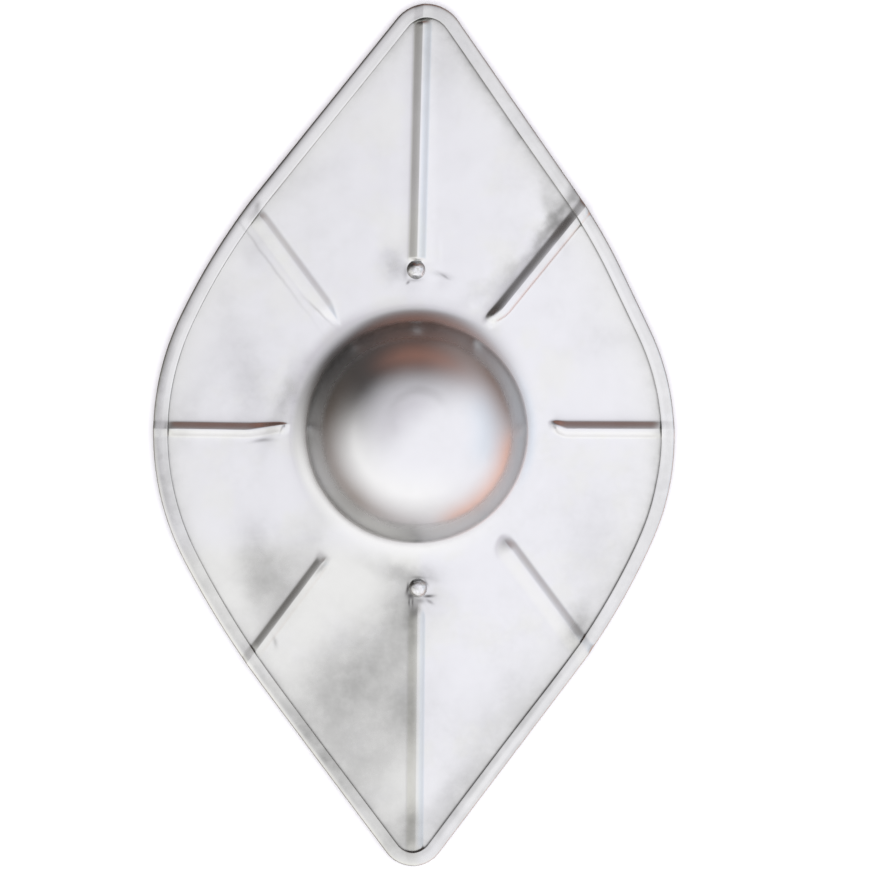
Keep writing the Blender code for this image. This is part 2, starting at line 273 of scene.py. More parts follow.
def corner_arcs():
    """Centre, radius and outward side normals of each rounded corner of the outline."""
    arcs = []
    for index, (x, y, radius) in enumerate(CORNERS):
        point = np.array((x, y))
        back = CORNERS[index - 1, :2] - point
        ahead = CORNERS[(index + 1) % len(CORNERS), :2] - point
        back = back / np.hypot(*back)
        ahead = ahead / np.hypot(*ahead)
        half = math.acos(back @ ahead) / 2
        middle = (back + ahead) / np.hypot(*(back + ahead))
        centre = point + middle * radius / math.sin(half)
        arcs.append((centre, radius, np.array((-back[1], back[0])), np.array((ahead[1], -ahead[0]))))
    return arcs


ARCS = corner_arcs()


def cross(a, b):
    return a[..., 0] * b[..., 1] - a[..., 1] * b[..., 0]


def inset(points):
    """Distance of each point from the outline, for points inside it."""
    nearest = np.full(points.shape[:-1], np.inf)
    for centre, radius, normal_in, normal_out in ARCS:
        away = points - centre
        facing = (cross(normal_in, away) >= 0) & (cross(away, normal_out) >= 0)
        nearest = np.where(facing, np.minimum(nearest, radius - np.hypot(*np.moveaxis(away, -1, 0))),
                           nearest)
        side = ((centre + normal_out * radius) - points) @ normal_out
        nearest = np.minimum(nearest, side)
    return nearest


PAST_THE_RIM = 0.3                      # farther than any rim from where a ray starts
HALVINGS = 36                           # of that distance, to find the rim


def reach(starts, directions, wanted):
    """Distance along each ray to where the outline is a wanted distance away."""
    near = np.zeros(len(starts))
    far = np.full(len(starts), PAST_THE_RIM)
    for _ in range(HALVINGS):
        middle = (near + far) / 2
        inside = inset(starts + directions * middle[:, None]) > wanted
        near = np.where(inside, middle, near)
        far = np.where(inside, far, middle)
    return near


# ---------------------------------------------------------------- the sheet

def unit(degrees):
    return np.array((math.cos(math.radians(degrees)), math.sin(math.radians(degrees))))


def left_of(direction):
    return np.array((-direction[1], direction[0]))


def ridge_frames():
    """Each ridge's crest start, direction and the shapes of its two sides, in metres."""
    frames = []
    for name, (degrees, offset, start, rise, height), (bend, taper), fade, left, right in RIDGES:
        along = unit(degrees)
        tip = BOSS_CENTRE + (left_of(along) * offset + along * start) * MM
        frames.append({"name": name, "tip": tip, "along": along, "offset": offset * MM,
                       "full": (start + rise) * MM, "rise": rise * MM, "height": height * MM,
                       "bend": bend * MM, "taper": taper * MM, "fade": fade,
                       "left": left, "right": right})
    return frames


RISE_MARGIN = 6.0 * MM                  # the rings stay close together this far past a ridge's rise
LEAST_RISEN = 20.0 * MM                 # and at least this far from the boss's edge


def sheet_lines(root_edge):
    """Straight lines in plan, from the boss's edge to the rim, that the sheet is woven from, and
    how far along each one the ridges beside it have risen."""
    groups = []
    for ridge in ridge_frames():
        offsets = [-ridge["right"][0] * MM * share for share in reversed(RIDGE_LINES)]
        offsets += [0.0] + [ridge["left"][0] * MM * share for share in RIDGE_LINES]
        group = []
        for offset in offsets:
            sideways = ridge["offset"] + offset
            run = math.sqrt(root_edge ** 2 - sideways ** 2)
            start = BOSS_CENTRE + left_of(ridge["along"]) * sideways + ridge["along"] * run
            group.append((start, ridge["along"]))
        groups.append((group, max(ridge["full"] - root_edge + RISE_MARGIN, LEAST_RISEN)))
    lines, risen = [], []
    for index, (group, here) in enumerate(groups):
        following, there = groups[(index + 1) % len(groups)]
        between = lines_between(group[-1], following[0], root_edge)
        lines += group + between
        risen += [here] * len(group) + np.linspace(here, there, len(between) + 2)[1:-1].tolist()
    starts = np.array([start for start, _ in lines])
    directions = np.array([direction for _, direction in lines])
    return starts, directions, np.array(risen)


PLAIN_SPACING = 3.1 * MM                # along the rim, between plain sections
MOST_START_ANGLE = math.radians(2.2)    # round the boss, between plain sections
RIM_SAMPLES = 200                       # between two ridges, to measure along the rim


def angle_of(point):
    return math.atan2(point[1] - BOSS_CENTRE[1], point[0] - BOSS_CENTRE[0])


def lines_between(before, after, root_edge):
    """Sections that fan out over the flat plate between two ridges."""
    turns = []
    for start, direction in (before, after):
        end = start + direction * reach(start[None], direction[None], RIM_MARGIN)[0]
        turns.append((angle_of(end), angle_of(start)))
    (first, first_start), (last, last_start) = turns
    last += 2 * math.pi * (last < first)
    last_start += 2 * math.pi * (last_start < first_start)
    angles = np.linspace(first, last, RIM_SAMPLES)
    rays = np.stack((np.cos(angles), np.sin(angles)), axis=1)
    centres = np.repeat(BOSS_CENTRE[None], len(rays), axis=0)
    rim = centres + rays * reach(centres, rays, RIM_MARGIN)[:, None]
    walked = np.concatenate(((0.0,), np.cumsum(np.hypot(*np.diff(rim, axis=0).T))))
    count = max(math.ceil(walked[-1] / PLAIN_SPACING),
                math.ceil((last_start - first_start) / MOST_START_ANGLE))
    lines = []
    for k in range(1, count):
        share = k / count
        end = np.array([np.interp(share * walked[-1], walked, rim[:, axis]) for axis in (0, 1)])
        turn = first_start + (last_start - first_start) * share
        start = BOSS_CENTRE + np.array((math.cos(turn), math.sin(turn))) * root_edge
        run = end - start
        lines.append((start, run / np.hypot(*run)))
    return lines


def ring_distances(risen, whole, near, far):
    """Distances of the rings along the sections, closer together where the ridges rise."""
    before = risen * np.linspace(0.0, 1.0, near + 1)[1:, None]
    beyond = risen + (whole - risen) * np.linspace(0.0, 1.0, far + 1)[1:-1, None]
    return np.concatenate((before, beyond))


def boss_rings(sizes, cap_rings, root_rings, flare_rings):
    """Radius, height over the plate and slope down the boss's outer skin."""
    cap, root, flare = sizes.cap_radius, sizes.root_radius, sizes.flare_radius
    steep, soft = sizes.steepest, sizes.flare_slope
    foot = flare * (1 - math.cos(soft))
    neck = foot + root * (math.cos(soft) - math.cos(steep))
    top = neck + cap * (1 - math.cos(steep))
    root_edge = cap * math.sin(steep) + root * (math.sin(steep) - math.sin(soft))
    edge = root_edge + flare * math.sin(soft)
    rings = []
    for bow, out, up, start, end, count in (
            (cap, 0.0, top - cap, 0.0, steep, cap_rings),
            (-root, edge - (flare - root) * math.sin(soft), foot + root * math.cos(soft),
             steep, soft, root_rings),
            (-flare, edge, flare, soft, 0.0, flare_rings)):
        slopes = np.linspace(start, end, count + 1)[1:]
        rings.append(np.stack((out + bow * np.sin(slopes), up + bow * np.cos(slopes), slopes), axis=1))
    return top, edge, np.concatenate(rings)


ROLL = 4.5 * MM                         # width over which the top of the hem rolls down to its rim
HEM_EDGE = 0.45 * MM                    # rounding of the hem's inner edge


def arc(centre, across, up, degrees):
    """Points round an oval corner, from its centre, half width and half height."""
    turns = [math.radians(turn) for turn in degrees]
    return [(centre[0] + across * math.cos(turn), centre[1] + up * math.sin(turn)) for turn in turns]


def hem_path(sizes):
    """Inset from the rim and height over the plate's underside, from the face beside the hem,
    under it, round its edge, over it and round the fold."""
    sheet, width, edge = sizes.thickness, sizes.hem_width, HEM_EDGE
    fold = sheet + GAP / 2
    low, high = sheet + GAP, 2 * sheet + GAP
    path = [(width + away * MM, sheet) for away in (4.4, 3.2, 2.2, 1.5, 1.0, 0.6, 0.3, 0.0, -1.2)]
    path += arc((fold, fold), -GAP / 2, GAP / 2, np.linspace(-90, 90, 5))
    path.append((width - edge, low))
    path += arc((width - edge, low + edge), edge, edge, (-60, -30, 0))
    path += arc((width - edge, high - edge), edge, edge, (0, 30, 60, 90))
    path += [(width - edge + (ROLL - width + edge) * share, high) for share in (0.25, 0.5, 0.75)]
    path += arc((ROLL, fold), -ROLL, fold, (90, 78, 66, 54, 43, 32, 21, 10))
    path += arc((fold, fold), -fold, fold, np.linspace(0, -90, 8))
    path.append((width, 0.0))
    return path


# Dirt, dullness and painted shade round the shield. By bearing in degrees: how much wider the hem
# is, in mm; dirt and painted shade in the seam beside it; painted shade on the plate beside the
# seam; dullness of the hem at its rim, middle and inner edge; painted shade round the boss's root
WEAR_AND_SHADE = np.array((
    (0, -0.4, 0.25, 0.50, 0.06, 0.12, 0.04, 0.00), (22, -0.2, 0.50, 0.18, 0.14, 0.09, 0.00, 0.00),
    (50, -0.2, 0.47, 0.16, 0.25, 0.12, 0.00, 0.05), (72, 0.2, 0.43, 0.58, 0.18, 0.14, 0.09, 0.20),
    (83, 0.0, 0.54, 0.55, 0.08, 0.16, 0.14, 0.45), (95, 0.4, 0.02, 0.30, 0.00, 0.03, 0.07, 0.50),
    (106, 0.4, 0.00, 0.12, 0.11, 0.03, 0.02, 0.45), (120, 0.3, 0.20, 0.18, 0.38, 0.00, 0.00, 0.50),
    (140, 0.3, 0.00, 0.00, 0.20, 0.00, 0.00, 0.52), (152, 0.4, 0.00, 0.12, 0.27, 0.13, 0.02, 0.48),
    (168, 0.5, 0.20, 0.16, 0.42, 0.23, 0.00, 0.30), (192, 0.6, 0.17, 0.30, 0.05, 0.36, 0.30, 0.20),
    (208, 0.4, 0.20, 0.18, 0.00, 0.20, 0.18, 0.35), (222, 0.1, 0.41, 0.12, 0.00, 0.25, 0.18, 0.40),
    (243, -0.4, 0.34, 0.40, 0.00, 0.28, 0.21, 0.30), (254, -0.4, 0.50, 0.10, 0.00, 0.50, 0.43, 0.15),
    (264, -0.2, 0.50, 0.28, 0.00, 0.12, 0.14, 0.05), (276, 0.2, 0.74, 0.30, 0.13, 0.00, 0.19, 0.00),
    (286, 0.2, 0.73, 0.33, 0.21, 0.00, 0.24, 0.00), (298, -0.3, 0.92, 0.34, 0.11, 0.01, 0.24, 0.00),
    (318, -0.2, 0.73, 0.36, 0.19, 0.06, 0.02, 0.00), (332, -0.3, 0.78, 0.32, 0.17, 0.12, 0.10, 0.00),
    (348, 0.1, 0.47, 0.38, 0.14, 0.16, 0.15, 0.00), (360, -0.4, 0.25, 0.50, 0.06, 0.12, 0.04, 0.00),
))


def wear_and_shade_at(points):
    """The columns of the table of dirt, dullness and painted shade at points in plan."""
    bearing = np.degrees(np.arctan2(points[:, 1] - BOSS_CENTRE[1], points[:, 0] - BOSS_CENTRE[0])) % 360
    return [np.interp(bearing, WEAR_AND_SHADE[:, 0], WEAR_AND_SHADE[:, k]) for k in range(1, WEAR_AND_SHADE.shape[1])]


ROOT_SHADE_RING = 64.3 * MM                   # from the boss centre to the painted shade round its root
DARK_SIDE = 125.0                       # bearing of the studio's dark side, where that painted shade spreads furthest up the boss
STRAP_HALF = 14.0 * MM                  # the plate stays true this far from the middle of the strap
STRAP_REACH = 112.0 * MM                # and this far from the boss centre along it
FACE_RINGS = (22, 28)                   # where the ridges rise, and beyond
BACK_RINGS = (11, 9)
BOSS_RINGS = (30, 10, 10)               # on the cap, in its root and on the flare
BACK_BOSS_RINGS = (14, 4, 5)


def sheet_sections(sizes):
    """Points of every section, as an array of sections by points by 3, plus the boss's top."""
    top, edge, rings = boss_rings(sizes, *BOSS_RINGS)
    starts, directions, risen = sheet_lines(edge)
    around = starts - BOSS_CENTRE
    around = around / np.hypot(*around.T)[:, None]
    face_z = BACK_Z + sizes.thickness
    path = []

    def add(plan, height):
        path.append(np.concatenate((plan, np.full((len(plan), 1), height)), axis=1))

    for radius, height, _ in rings:
        add(BOSS_CENTRE + around * radius, face_z + height)
    hem = hem_path(sizes)
    rim = starts + directions * reach(starts, directions, RIM_MARGIN)[:, None]
    widening = 1 + wear_and_shade_at(rim)[0] * MM / sizes.hem_width
    run = reach(starts, directions, hem[0][0] * widening)
    for distance in ring_distances(risen, run, *FACE_RINGS):
        add(starts + directions * distance[:, None], face_z)
    for depth, height in hem:
        distance = reach(starts, directions, np.maximum(depth * widening, RIM_MARGIN))
        add(starts + directions * distance[:, None], BACK_Z + height)
    run = reach(starts, directions, hem[-1][0] * widening)
    for distance in ring_distances(risen, run, *BACK_RINGS)[::-1]:
        add(starts + directions * distance[:, None], BACK_Z)
    _, _, inner = boss_rings(sizes, *BACK_BOSS_RINGS)
    for radius, height, slope in inner[::-1]:
        add(BOSS_CENTRE + around * (radius - sizes.thickness * math.sin(slope)),
            face_z + height - sizes.thickness * math.cos(slope))
    return np.stack(path, axis=1), face_z + top


def ring_mesh(name, sections, first_pole, last_pole):
    """A closed mesh from sections that lie side by side all the way round."""
    count, points = sections.shape[:2]
    here = np.arange(count)[:, None] * points
    there = ((np.arange(count) + 1) % count)[:, None] * points
    low, high = np.arange(points - 1)[None], np.arange(1, points)[None]
    quads = np.stack((here + low, here + high, there + high, there + low), axis=-1).reshape(-1, 4)
    vertices = np.concatenate((sections.reshape(-1, 3), (first_pole, last_pole)))
    first, last = len(vertices) - 2, len(vertices) - 1
    faces = quads.tolist()
    for i in range(count):
        j = (i + 1) % count
        faces.append((first, i * points, j * points))
        faces.append((last, j * points + points - 1, i * points + points - 1))
    mesh = bpy.data.meshes.new(name)
    mesh.from_pydata(vertices.tolist(), [], faces)
    return mesh


def store(mesh, name, values):
    attribute = mesh.attributes.new(name, "FLOAT", "POINT")
    attribute.data.foreach_set("value", np.asarray(values, np.float32))


def step(values, low, high):
    share = np.clip((values - low) / (high - low), 0.0, 1.0)
    return share * share * (3 - 2 * share)


VECTOR_INPUTS = ("Position", "Centre", "Along", "Ray")


def new_tree(kind, name, inputs, output):
    """The wiring to fill a new node tree with, and its named inputs."""
    tree = bpy.data.node_groups.new(name, kind)
    for label, what in inputs:
        tree.interface.new_socket(label, in_out="INPUT", socket_type="NodeSocket" + what)
    tree.interface.new_socket(output[0], in_out="OUTPUT", socket_type="NodeSocket" + output[1])
    wire = Wiring(tree)
    return wire, wire.add("NodeGroupInput").outputs


def group_tree(name, labels, output, kind="GeometryNodeTree"):
    """A node group of plain numbers and vectors."""
    inputs = [(label, "Vector" if label in VECTOR_INPUTS else "Float") for label in labels]
    return new_tree(kind, name, inputs, (output, "Float"))


def start_tree(name, inputs):
    """A geometry node tree that works on a mesh and gives it a material."""
    geometry = ("Geometry", "Geometry")
    return new_tree("GeometryNodeTree", name, (geometry, *inputs, ("Material", "Material")), geometry)


def finish_tree(wire, geometry, material):
    """End a tree with real geometry that wears its material, and give the tree."""
    real = wire.add("GeometryNodeRealizeInstances", {"Geometry": geometry}).outputs[0]
    painted = wire.add("GeometryNodeSetMaterial", {"Geometry": real, "Material": material}).outputs[0]
    return wire.give(painted)


CREST_ROUNDING = 0.12 * MM
SIDE_PARTS = (" width", " bulge", " softness", " skirt", " start")


def ridge_side_group():
    """Node group: height of one side of a ridge, as a share, at a distance from its crest."""
    wire, given = group_tree("Ridge side", (
        "Distance", "Width", "Bulge", "Softness", "Skirt share", "Skirt"), "Share")
    away = wire.math("SQRT", wire.scaled(given["Distance"], given["Distance"], CREST_ROUNDING ** 2))
    inner = wire.math("POWER", wire.math("DIVIDE", away, given["Width"]), given["Bulge"])
    pressed = wire.math("SMOOTH_MAX", 0.0, wire.minus(1.0, inner), given["Softness"])
    spread = wire.bell(wire.math("DIVIDE", given["Distance"], given["Skirt"]))
    share = wire.scaled(wire.minus(spread, pressed), given["Skirt share"], pressed)
    return wire.give(share)


def ridge_group():
    """Node group: how far one pressed ridge lifts a point of the sheet."""
    shape = [side + part for side in ("Left", "Right") for part in SIDE_PARTS]
    wire, given = group_tree("Pressed ridge", (
        "Position", "Centre", "Along", *shape, "Height", "Rise", "Bend", "Taper", "Kept", "Fade start",
        "Fade end", "Skirt"), "Lift")
    one_side = ridge_side_group()
    away = wire.vector("SUBTRACT", given["Position"], given["Centre"])
    along = wire.vector("DOT_PRODUCT", away, given["Along"])
    sideways = wire.parts(wire.vector("CROSS_PRODUCT", given["Along"], away))["Z"]
    sideways = wire.minus(sideways, wire.ramp(along, 0.0, given["Taper"], given["Bend"], 0.0))
    faded = wire.ramp(along, given["Fade start"], given["Fade end"], 1.0, given["Kept"])
    grown = wire.times(wire.ramp(along, 0.0, given["Rise"]), faded)
    left, right = [], []
    for side, height in (("Left", left), ("Right", right)):
        narrow = wire.ramp(along, 0.0, given["Taper"], given[side + " start"], 1.0)
        height.append(wire.call(one_side, {
            "Distance": sideways, "Width": wire.times(given[side + " width"], narrow),
            "Bulge": given[side + " bulge"], "Softness": given[side + " softness"],
            "Skirt share": given[side + " skirt"], "Skirt": wire.times(given["Skirt"], narrow)}))
    on_left = wire.math("GREATER_THAN", sideways, 0.0)
    share = wire.scaled(on_left, wire.minus(left[0], right[0]), right[0])
    return wire.give(wire.times(share, grown, given["Height"]))


def dent_group():
    """Node group: how far one soft dent sinks a point of the sheet."""
    wire, given = group_tree("Soft dent", ("Position", "Centre", "Radius", "Depth"), "Lift")
    away = wire.flat(wire.vector("SUBTRACT", given["Position"], given["Centre"]))
    fall = wire.bell(wire.math("DIVIDE", wire.vector("LENGTH", away), given["Radius"]))
    return wire.give(wire.times(fall, given["Depth"], -1.0))


# Soft dents and bulges (a negative depth): x, y, radius, depth, in mm
DENTS = (
    (-4.0, 88.0, 6.0, 0.35),            # beside the upper rivet
    (15.0, 91.0, 5.0, 0.3),
    (-5.0, -90.0, 4.0, 0.45),           # beside the lower rivet
    (9.5, -92.0, 4.0, 0.45),
    (44.0, 78.0, 8.0, 0.7),             # start of the upper right ridge
    (84.0, 126.0, 9.0, 0.8),            # its end at the hem
)

APEX_CENTRE = (3.8 * MM, 8.3 * MM)      # of the planished top of the boss
APEX_RADIUS = 14.5 * MM
APEX_STEP = 0.28 * MM
APEX_FALL = 4.0 * MM                    # width over which it steps down
APEX_RETURN = 30.0 * MM                 # and over which that fades out again


def apex_group():
    """Node group: the boss falls away a little faster just outside its planished top."""
    wire, given = group_tree("Planished top", ("Position", "Centre"), "Lift")
    away = wire.flat(wire.vector("SUBTRACT", given["Position"], given["Centre"]))
    away = wire.vector("LENGTH", away)
    down = wire.ramp(away, APEX_RADIUS, APEX_RADIUS + APEX_FALL)
    back = wire.ramp(away, APEX_RADIUS + APEX_FALL, APEX_RADIUS + APEX_RETURN)
    return wire.give(wire.times(wire.minus(back, down), APEX_STEP))


# Where the flare round the boss is hammered tighter: bearing and half spread in degrees
COLLARS = ((90.0, 24.0), (188.0, 26.0))
COLLAR_RADIUS = 72.5 * MM
COLLAR_WIDTH = 3.5 * MM
COLLAR_DEPTH = 0.42 * MM
COLLAR_SPREAD = 1.6                     # how far past its half spread a collar still tells


def collar_group():
    """Node group: sinks the flare on one side of the boss, so that it flattens out sooner."""
    wire, given = group_tree("Collar", ("Position", "Along", "Least"), "Lift")
    away = wire.flat(wire.vector("SUBTRACT", given["Position"], (*BOSS_CENTRE, 0.0)))
    facing = wire.vector("DOT_PRODUCT", wire.vector("NORMALIZE", away), given["Along"])
    off = wire.math("DIVIDE", wire.minus(wire.vector("LENGTH", away), COLLAR_RADIUS), COLLAR_WIDTH)
    sunk = wire.times(wire.bell(off), wire.ramp(facing, given["Least"], 1.0), -COLLAR_DEPTH)
    return wire.give(sunk)


HEM_INSET = 8.2 * MM                    # from the rim to the seam, for the ridges that cross it


def seam_distance(ridge):
    """How far along a ridge's crest the hem begins."""
    return reach(ridge["tip"][None], ridge["along"][None], HEM_INSET)[0]


WAVES = (26.0, 1.5)                     # fineness of the soft waves per metre, and their detail
WAVE_GAIN = 3.0                         # the noise uses only about a third of its range


def press_tree():
    """Geometry nodes that press the ridges, dents and soft waves into the flat sheet."""
    wire, given = start_tree("Press the sheet", (
        ("Ridge height", "Float"), ("Undulation", "Float"), ("Seed", "Float")))
    position = wire.add("GeometryNodeInputPosition").outputs[0]
    lifts = []
    one_ridge, one_dent, collar = ridge_group(), dent_group(), collar_group()
    for ridge in ridge_frames():
        kept, *fade = ridge["fade"]
        fade = [seam_distance(ridge) + past * MM for past in fade]
        values = {"Position": position, "Centre": (*ridge["tip"], 0.0), "Along": (*ridge["along"], 0.0),
                  "Height": wire.times(given["Ridge height"], ridge["height"]),
                  "Rise": ridge["rise"], "Bend": ridge["bend"], "Taper": ridge["taper"],
                  "Kept": kept, "Fade start": fade[0], "Fade end": fade[1], "Skirt": SKIRT}
        for side in ("left", "right"):
            width, *shape = ridge[side]
            for part, value in zip(SIDE_PARTS, (width * MM, *shape)):
                values[side.title() + part] = value
        lifts.append(wire.call(one_ridge, values, ridge["name"]))
    for x, y, radius, depth in DENTS:
        lifts.append(wire.call(one_dent, {"Position": position, "Centre": (x * MM, y * MM, 0.0),
                                          "Radius": radius * MM, "Depth": depth * MM}))
    lifts.append(wire.call(apex_group(), {"Position": position, "Centre": (*APEX_CENTRE, 0.0)}))
    for degrees, spread in COLLARS:
        least = math.cos(math.radians(spread * COLLAR_SPREAD))
        lifts.append(wire.call(collar, {"Position": position, "Along": (*unit(degrees), 0.0),
                                        "Least": least}))
    noise = wire.noise(wire.flat(position), *WAVES, W=given["Seed"])[0]
    loose = wire.add("GeometryNodeInputNamedAttribute", {"Name": "loose"}, data_type="FLOAT").outputs[0]
    lifts.append(wire.times(wire.minus(noise, 0.5), wire.times(given["Undulation"], WAVE_GAIN), loose))
    total = lifts[0]
    for lift in lifts[1:]:
        total = wire.plus(total, lift)
    offset = wire.add("ShaderNodeCombineXYZ", {"Z": total}).outputs[0]
    moved = wire.add("GeometryNodeSetPosition", {"Geometry": given["Geometry"], "Offset": offset})
    return finish_tree(wire, moved.outputs[0], given["Material"])


def run_tree(obj, tree, values):
    """Run a geometry node tree on an object and keep its result as the object's plain smooth mesh."""
    modifier = obj.modifiers.new(tree.name, "NODES")
    modifier.node_group = tree
    for item in tree.interface.items_tree:
        if item.in_out == "INPUT" and item.name in values:
            modifier[item.identifier] = values[item.name]
    bpy.context.view_layer.update()
    depsgraph = bpy.context.evaluated_depsgraph_get()
    mesh = bpy.data.meshes.new_from_object(obj.evaluated_get(depsgraph),
                                           preserve_all_data_layers=True, depsgraph=depsgraph)
    obj.modifiers.clear()
    plain = obj.data
    obj.data = mesh
    bpy.data.meshes.remove(plain)
    mesh.name = obj.name
    mesh.shade_smooth()


def place(name, mesh):
    obj = bpy.data.objects.new(name, mesh)
    bpy.context.scene.collection.objects.link(obj)
    return obj


def hand_over(obj, slot, *nodes):
    """Let a finished piece ride with the shield in place of its plain CAD nodes."""
    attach(obj, "root")
    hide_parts(*nodes)


# ---------------------------------------------------------------- rivets and grip

def rivet_outline(sizes, length):
    """Radius and height down a rivet, from beside the top of its head to its peened tail."""
    head, rise, shank = sizes.head_radius, sizes.head_height, sizes.shank_radius
    edge = 0.35 * MM                    # rounding of the head's rim
    neck = 0.2 * MM                     # chamfer under the head
    crown = rise - edge
    ball = ((head - edge) ** 2 + crown ** 2) / (2 * crown)
    steepest = math.asin((head - edge) / ball)
    outline = [(ball * math.sin(t), edge + crown - ball * (1 - math.cos(t)))
               for t in np.linspace(0.0, steepest, 15)[1:]]
    outline += [(head - edge + edge * math.sin(t), edge * math.cos(t))
                for t in np.linspace(steepest, math.pi, 9)[1:]]
    outline += [(shank + neck, 0.0), (shank, -neck)]
    outline += [(shank, -length * share) for share in (0.3, 0.6, 0.85)]
    soft = 0.4 * MM                     # rounding of the tail
    outline += [(shank - soft + soft * math.cos(t), -length + soft - soft * math.sin(t))
                for t in np.linspace(0.0, math.pi / 2, 5)]
    outline.append((shank / 2, -length))
    return np.array(outline)


RIVET_SIDES = 64
HEAD_DENTS = 380.0                      # fineness of the hammering on the heads, per metre
TAIL_INSET = 0.2 * MM                   # keeps the hammered tails off the ground


def rivet_mesh(sizes, length):
    """One rivet about its own axis, with the underside of its head at zero."""
    outline = rivet_outline(sizes, length)
    turns = np.arange(RIVET_SIDES) * 2 * math.pi / RIVET_SIDES
    around = np.stack((np.cos(turns), np.sin(turns)), axis=1)
    plan = around[:, None, :] * outline[None, :, :1]
    height = np.broadcast_to(outline[None, :, 1:], (*plan.shape[:2], 1))
    sections = np.concatenate((plan, height), axis=2)
    return ring_mesh("rivets", sections, (0.0, 0.0, sizes.head_height), (0.0, 0.0, -length))


HAMMER_DETAIL = 2.0                     # of the noise that stands for hammer marks


def hammered(wire, geometry, seed, scale, depth, mask=1.0):
    """Move a surface in and out along its normals by soft seeded noise."""
    position = wire.add("GeometryNodeInputPosition").outputs[0]
    noise = wire.noise(position, scale, HAMMER_DETAIL, W=seed)[0]
    push = wire.times(wire.minus(noise, 0.5), depth, mask)
    normal = wire.add("GeometryNodeInputNormal").outputs[0]
    offset = wire.add("ShaderNodeVectorMath", {0: normal, "Scale": push}, operation="SCALE").outputs[0]
    return wire.add("GeometryNodeSetPosition", {"Geometry": geometry, "Offset": offset}).outputs[0]


def spots_between(wire, given):
    """Two points, at the upper and the lower rivet."""
    apart = wire.vector("SUBTRACT", given["Lower spot"], given["Upper spot"])
    return wire.add("GeometryNodeMeshLine", {"Count": 2, "Start Location": given["Upper spot"],
                                             "Offset": apart}, mode="OFFSET").outputs[0]


def rivet_tree():
    """Geometry nodes that set a rivet at both spots, each turned and dressed a little differently."""
    wire, given = start_tree("Set the rivets", (
        ("Upper spot", "Vector"), ("Lower spot", "Vector"), ("Hammering", "Float"), ("Seed", "Int")))
    turn = wire.add("FunctionNodeRandomValue", data_type="FLOAT")
    for label, value in (("Min", 0.0), ("Max", 2 * math.pi), ("Seed", given["Seed"])):
        socket = [s for s in turn.inputs if s.name == label and s.enabled][0]
        wire.plug(value, socket)
    turn = [s for s in turn.outputs if s.enabled][0]
    rotation = wire.add("ShaderNodeCombineXYZ", {"Z": turn}).outputs[0]
    rivets = wire.add("GeometryNodeInstanceOnPoints", {
        "Points": spots_between(wire, given), "Instance": given["Geometry"],
        "Rotation": rotation}).outputs[0]
    real = wire.add("GeometryNodeRealizeInstances", {"Geometry": rivets}).outputs[0]
    dressed = hammered(wire, real, given["Seed"], HEAD_DENTS, given["Hammering"])
    return finish_tree(wire, dressed, given["Material"])


def eased(distance, radius):
    """How much of its full size a form has at a distance from its rounded end."""
    left = np.clip(1 - distance / radius, 0.0, 1.0)
    return 1 - np.sqrt(1 - left * left)


EDGE_ROUNDING = 0.8 * MM                # of the strap's long edges and ends
CORNER_ROUNDING = 6.0 * MM              # of the strap's four corners
STRAP_STEPS = 40                        # across the strap
STATION_STEPS = (7, 30, 16)             # at a rounded end, in a curl and along the handle
END_STEPS = 12                          # along a flat end
STRAP_LIFT = 0.03 * MM                  # keeps the hammered underside off the ground
GRIP_DENTS = 75.0                       # fineness of the hammering, per metre
END_DENTS = 0.15                        # how much of it the flat ends get
DRILL_DEPTH = 12.0 * MM
SHARP_ANGLE = 40.0                      # edges of the strap sharper than this stay crisp


def strap_stations(sizes, upper, lower):
    """Positions along the strap, closer together where it is rounded or curls."""
    ends, curl, straight = STATION_STEPS
    top, bottom = GRIP_HIGH.y, GRIP_LOW.y
    turns = 1 - np.cos(np.linspace(0.0, math.pi / 2, ends))
    starts = np.concatenate((turns[:-1] * EDGE_ROUNDING,
                             EDGE_ROUNDING + turns * (CORNER_ROUNDING - EDGE_ROUNDING)))
    curl_top = BOSS_CENTRE[1] + sizes.curl_start
    curl_bottom = BOSS_CENTRE[1] - sizes.curl_start
    stops = (top - CORNER_ROUNDING, curl_top, curl_top - sizes.curl_length,
             curl_bottom + sizes.curl_length, curl_bottom, bottom + CORNER_ROUNDING)
    parts = [np.linspace(*stretch)[1:]
             for stretch in zip(stops, stops[1:], (END_STEPS, curl, straight, curl, END_STEPS))]
    stations = np.concatenate((top - starts, *parts, (bottom + starts[::-1])[1:]))
    from_end = np.minimum(top - stations, stations - bottom)
    curled = step(np.minimum(curl_top - stations, stations - curl_bottom), 0.0, sizes.curl_length)
    share = (stations - lower.y) / (upper.y - lower.y)
    return stations, from_end, curled, lower.x + (upper.x - lower.x) * share


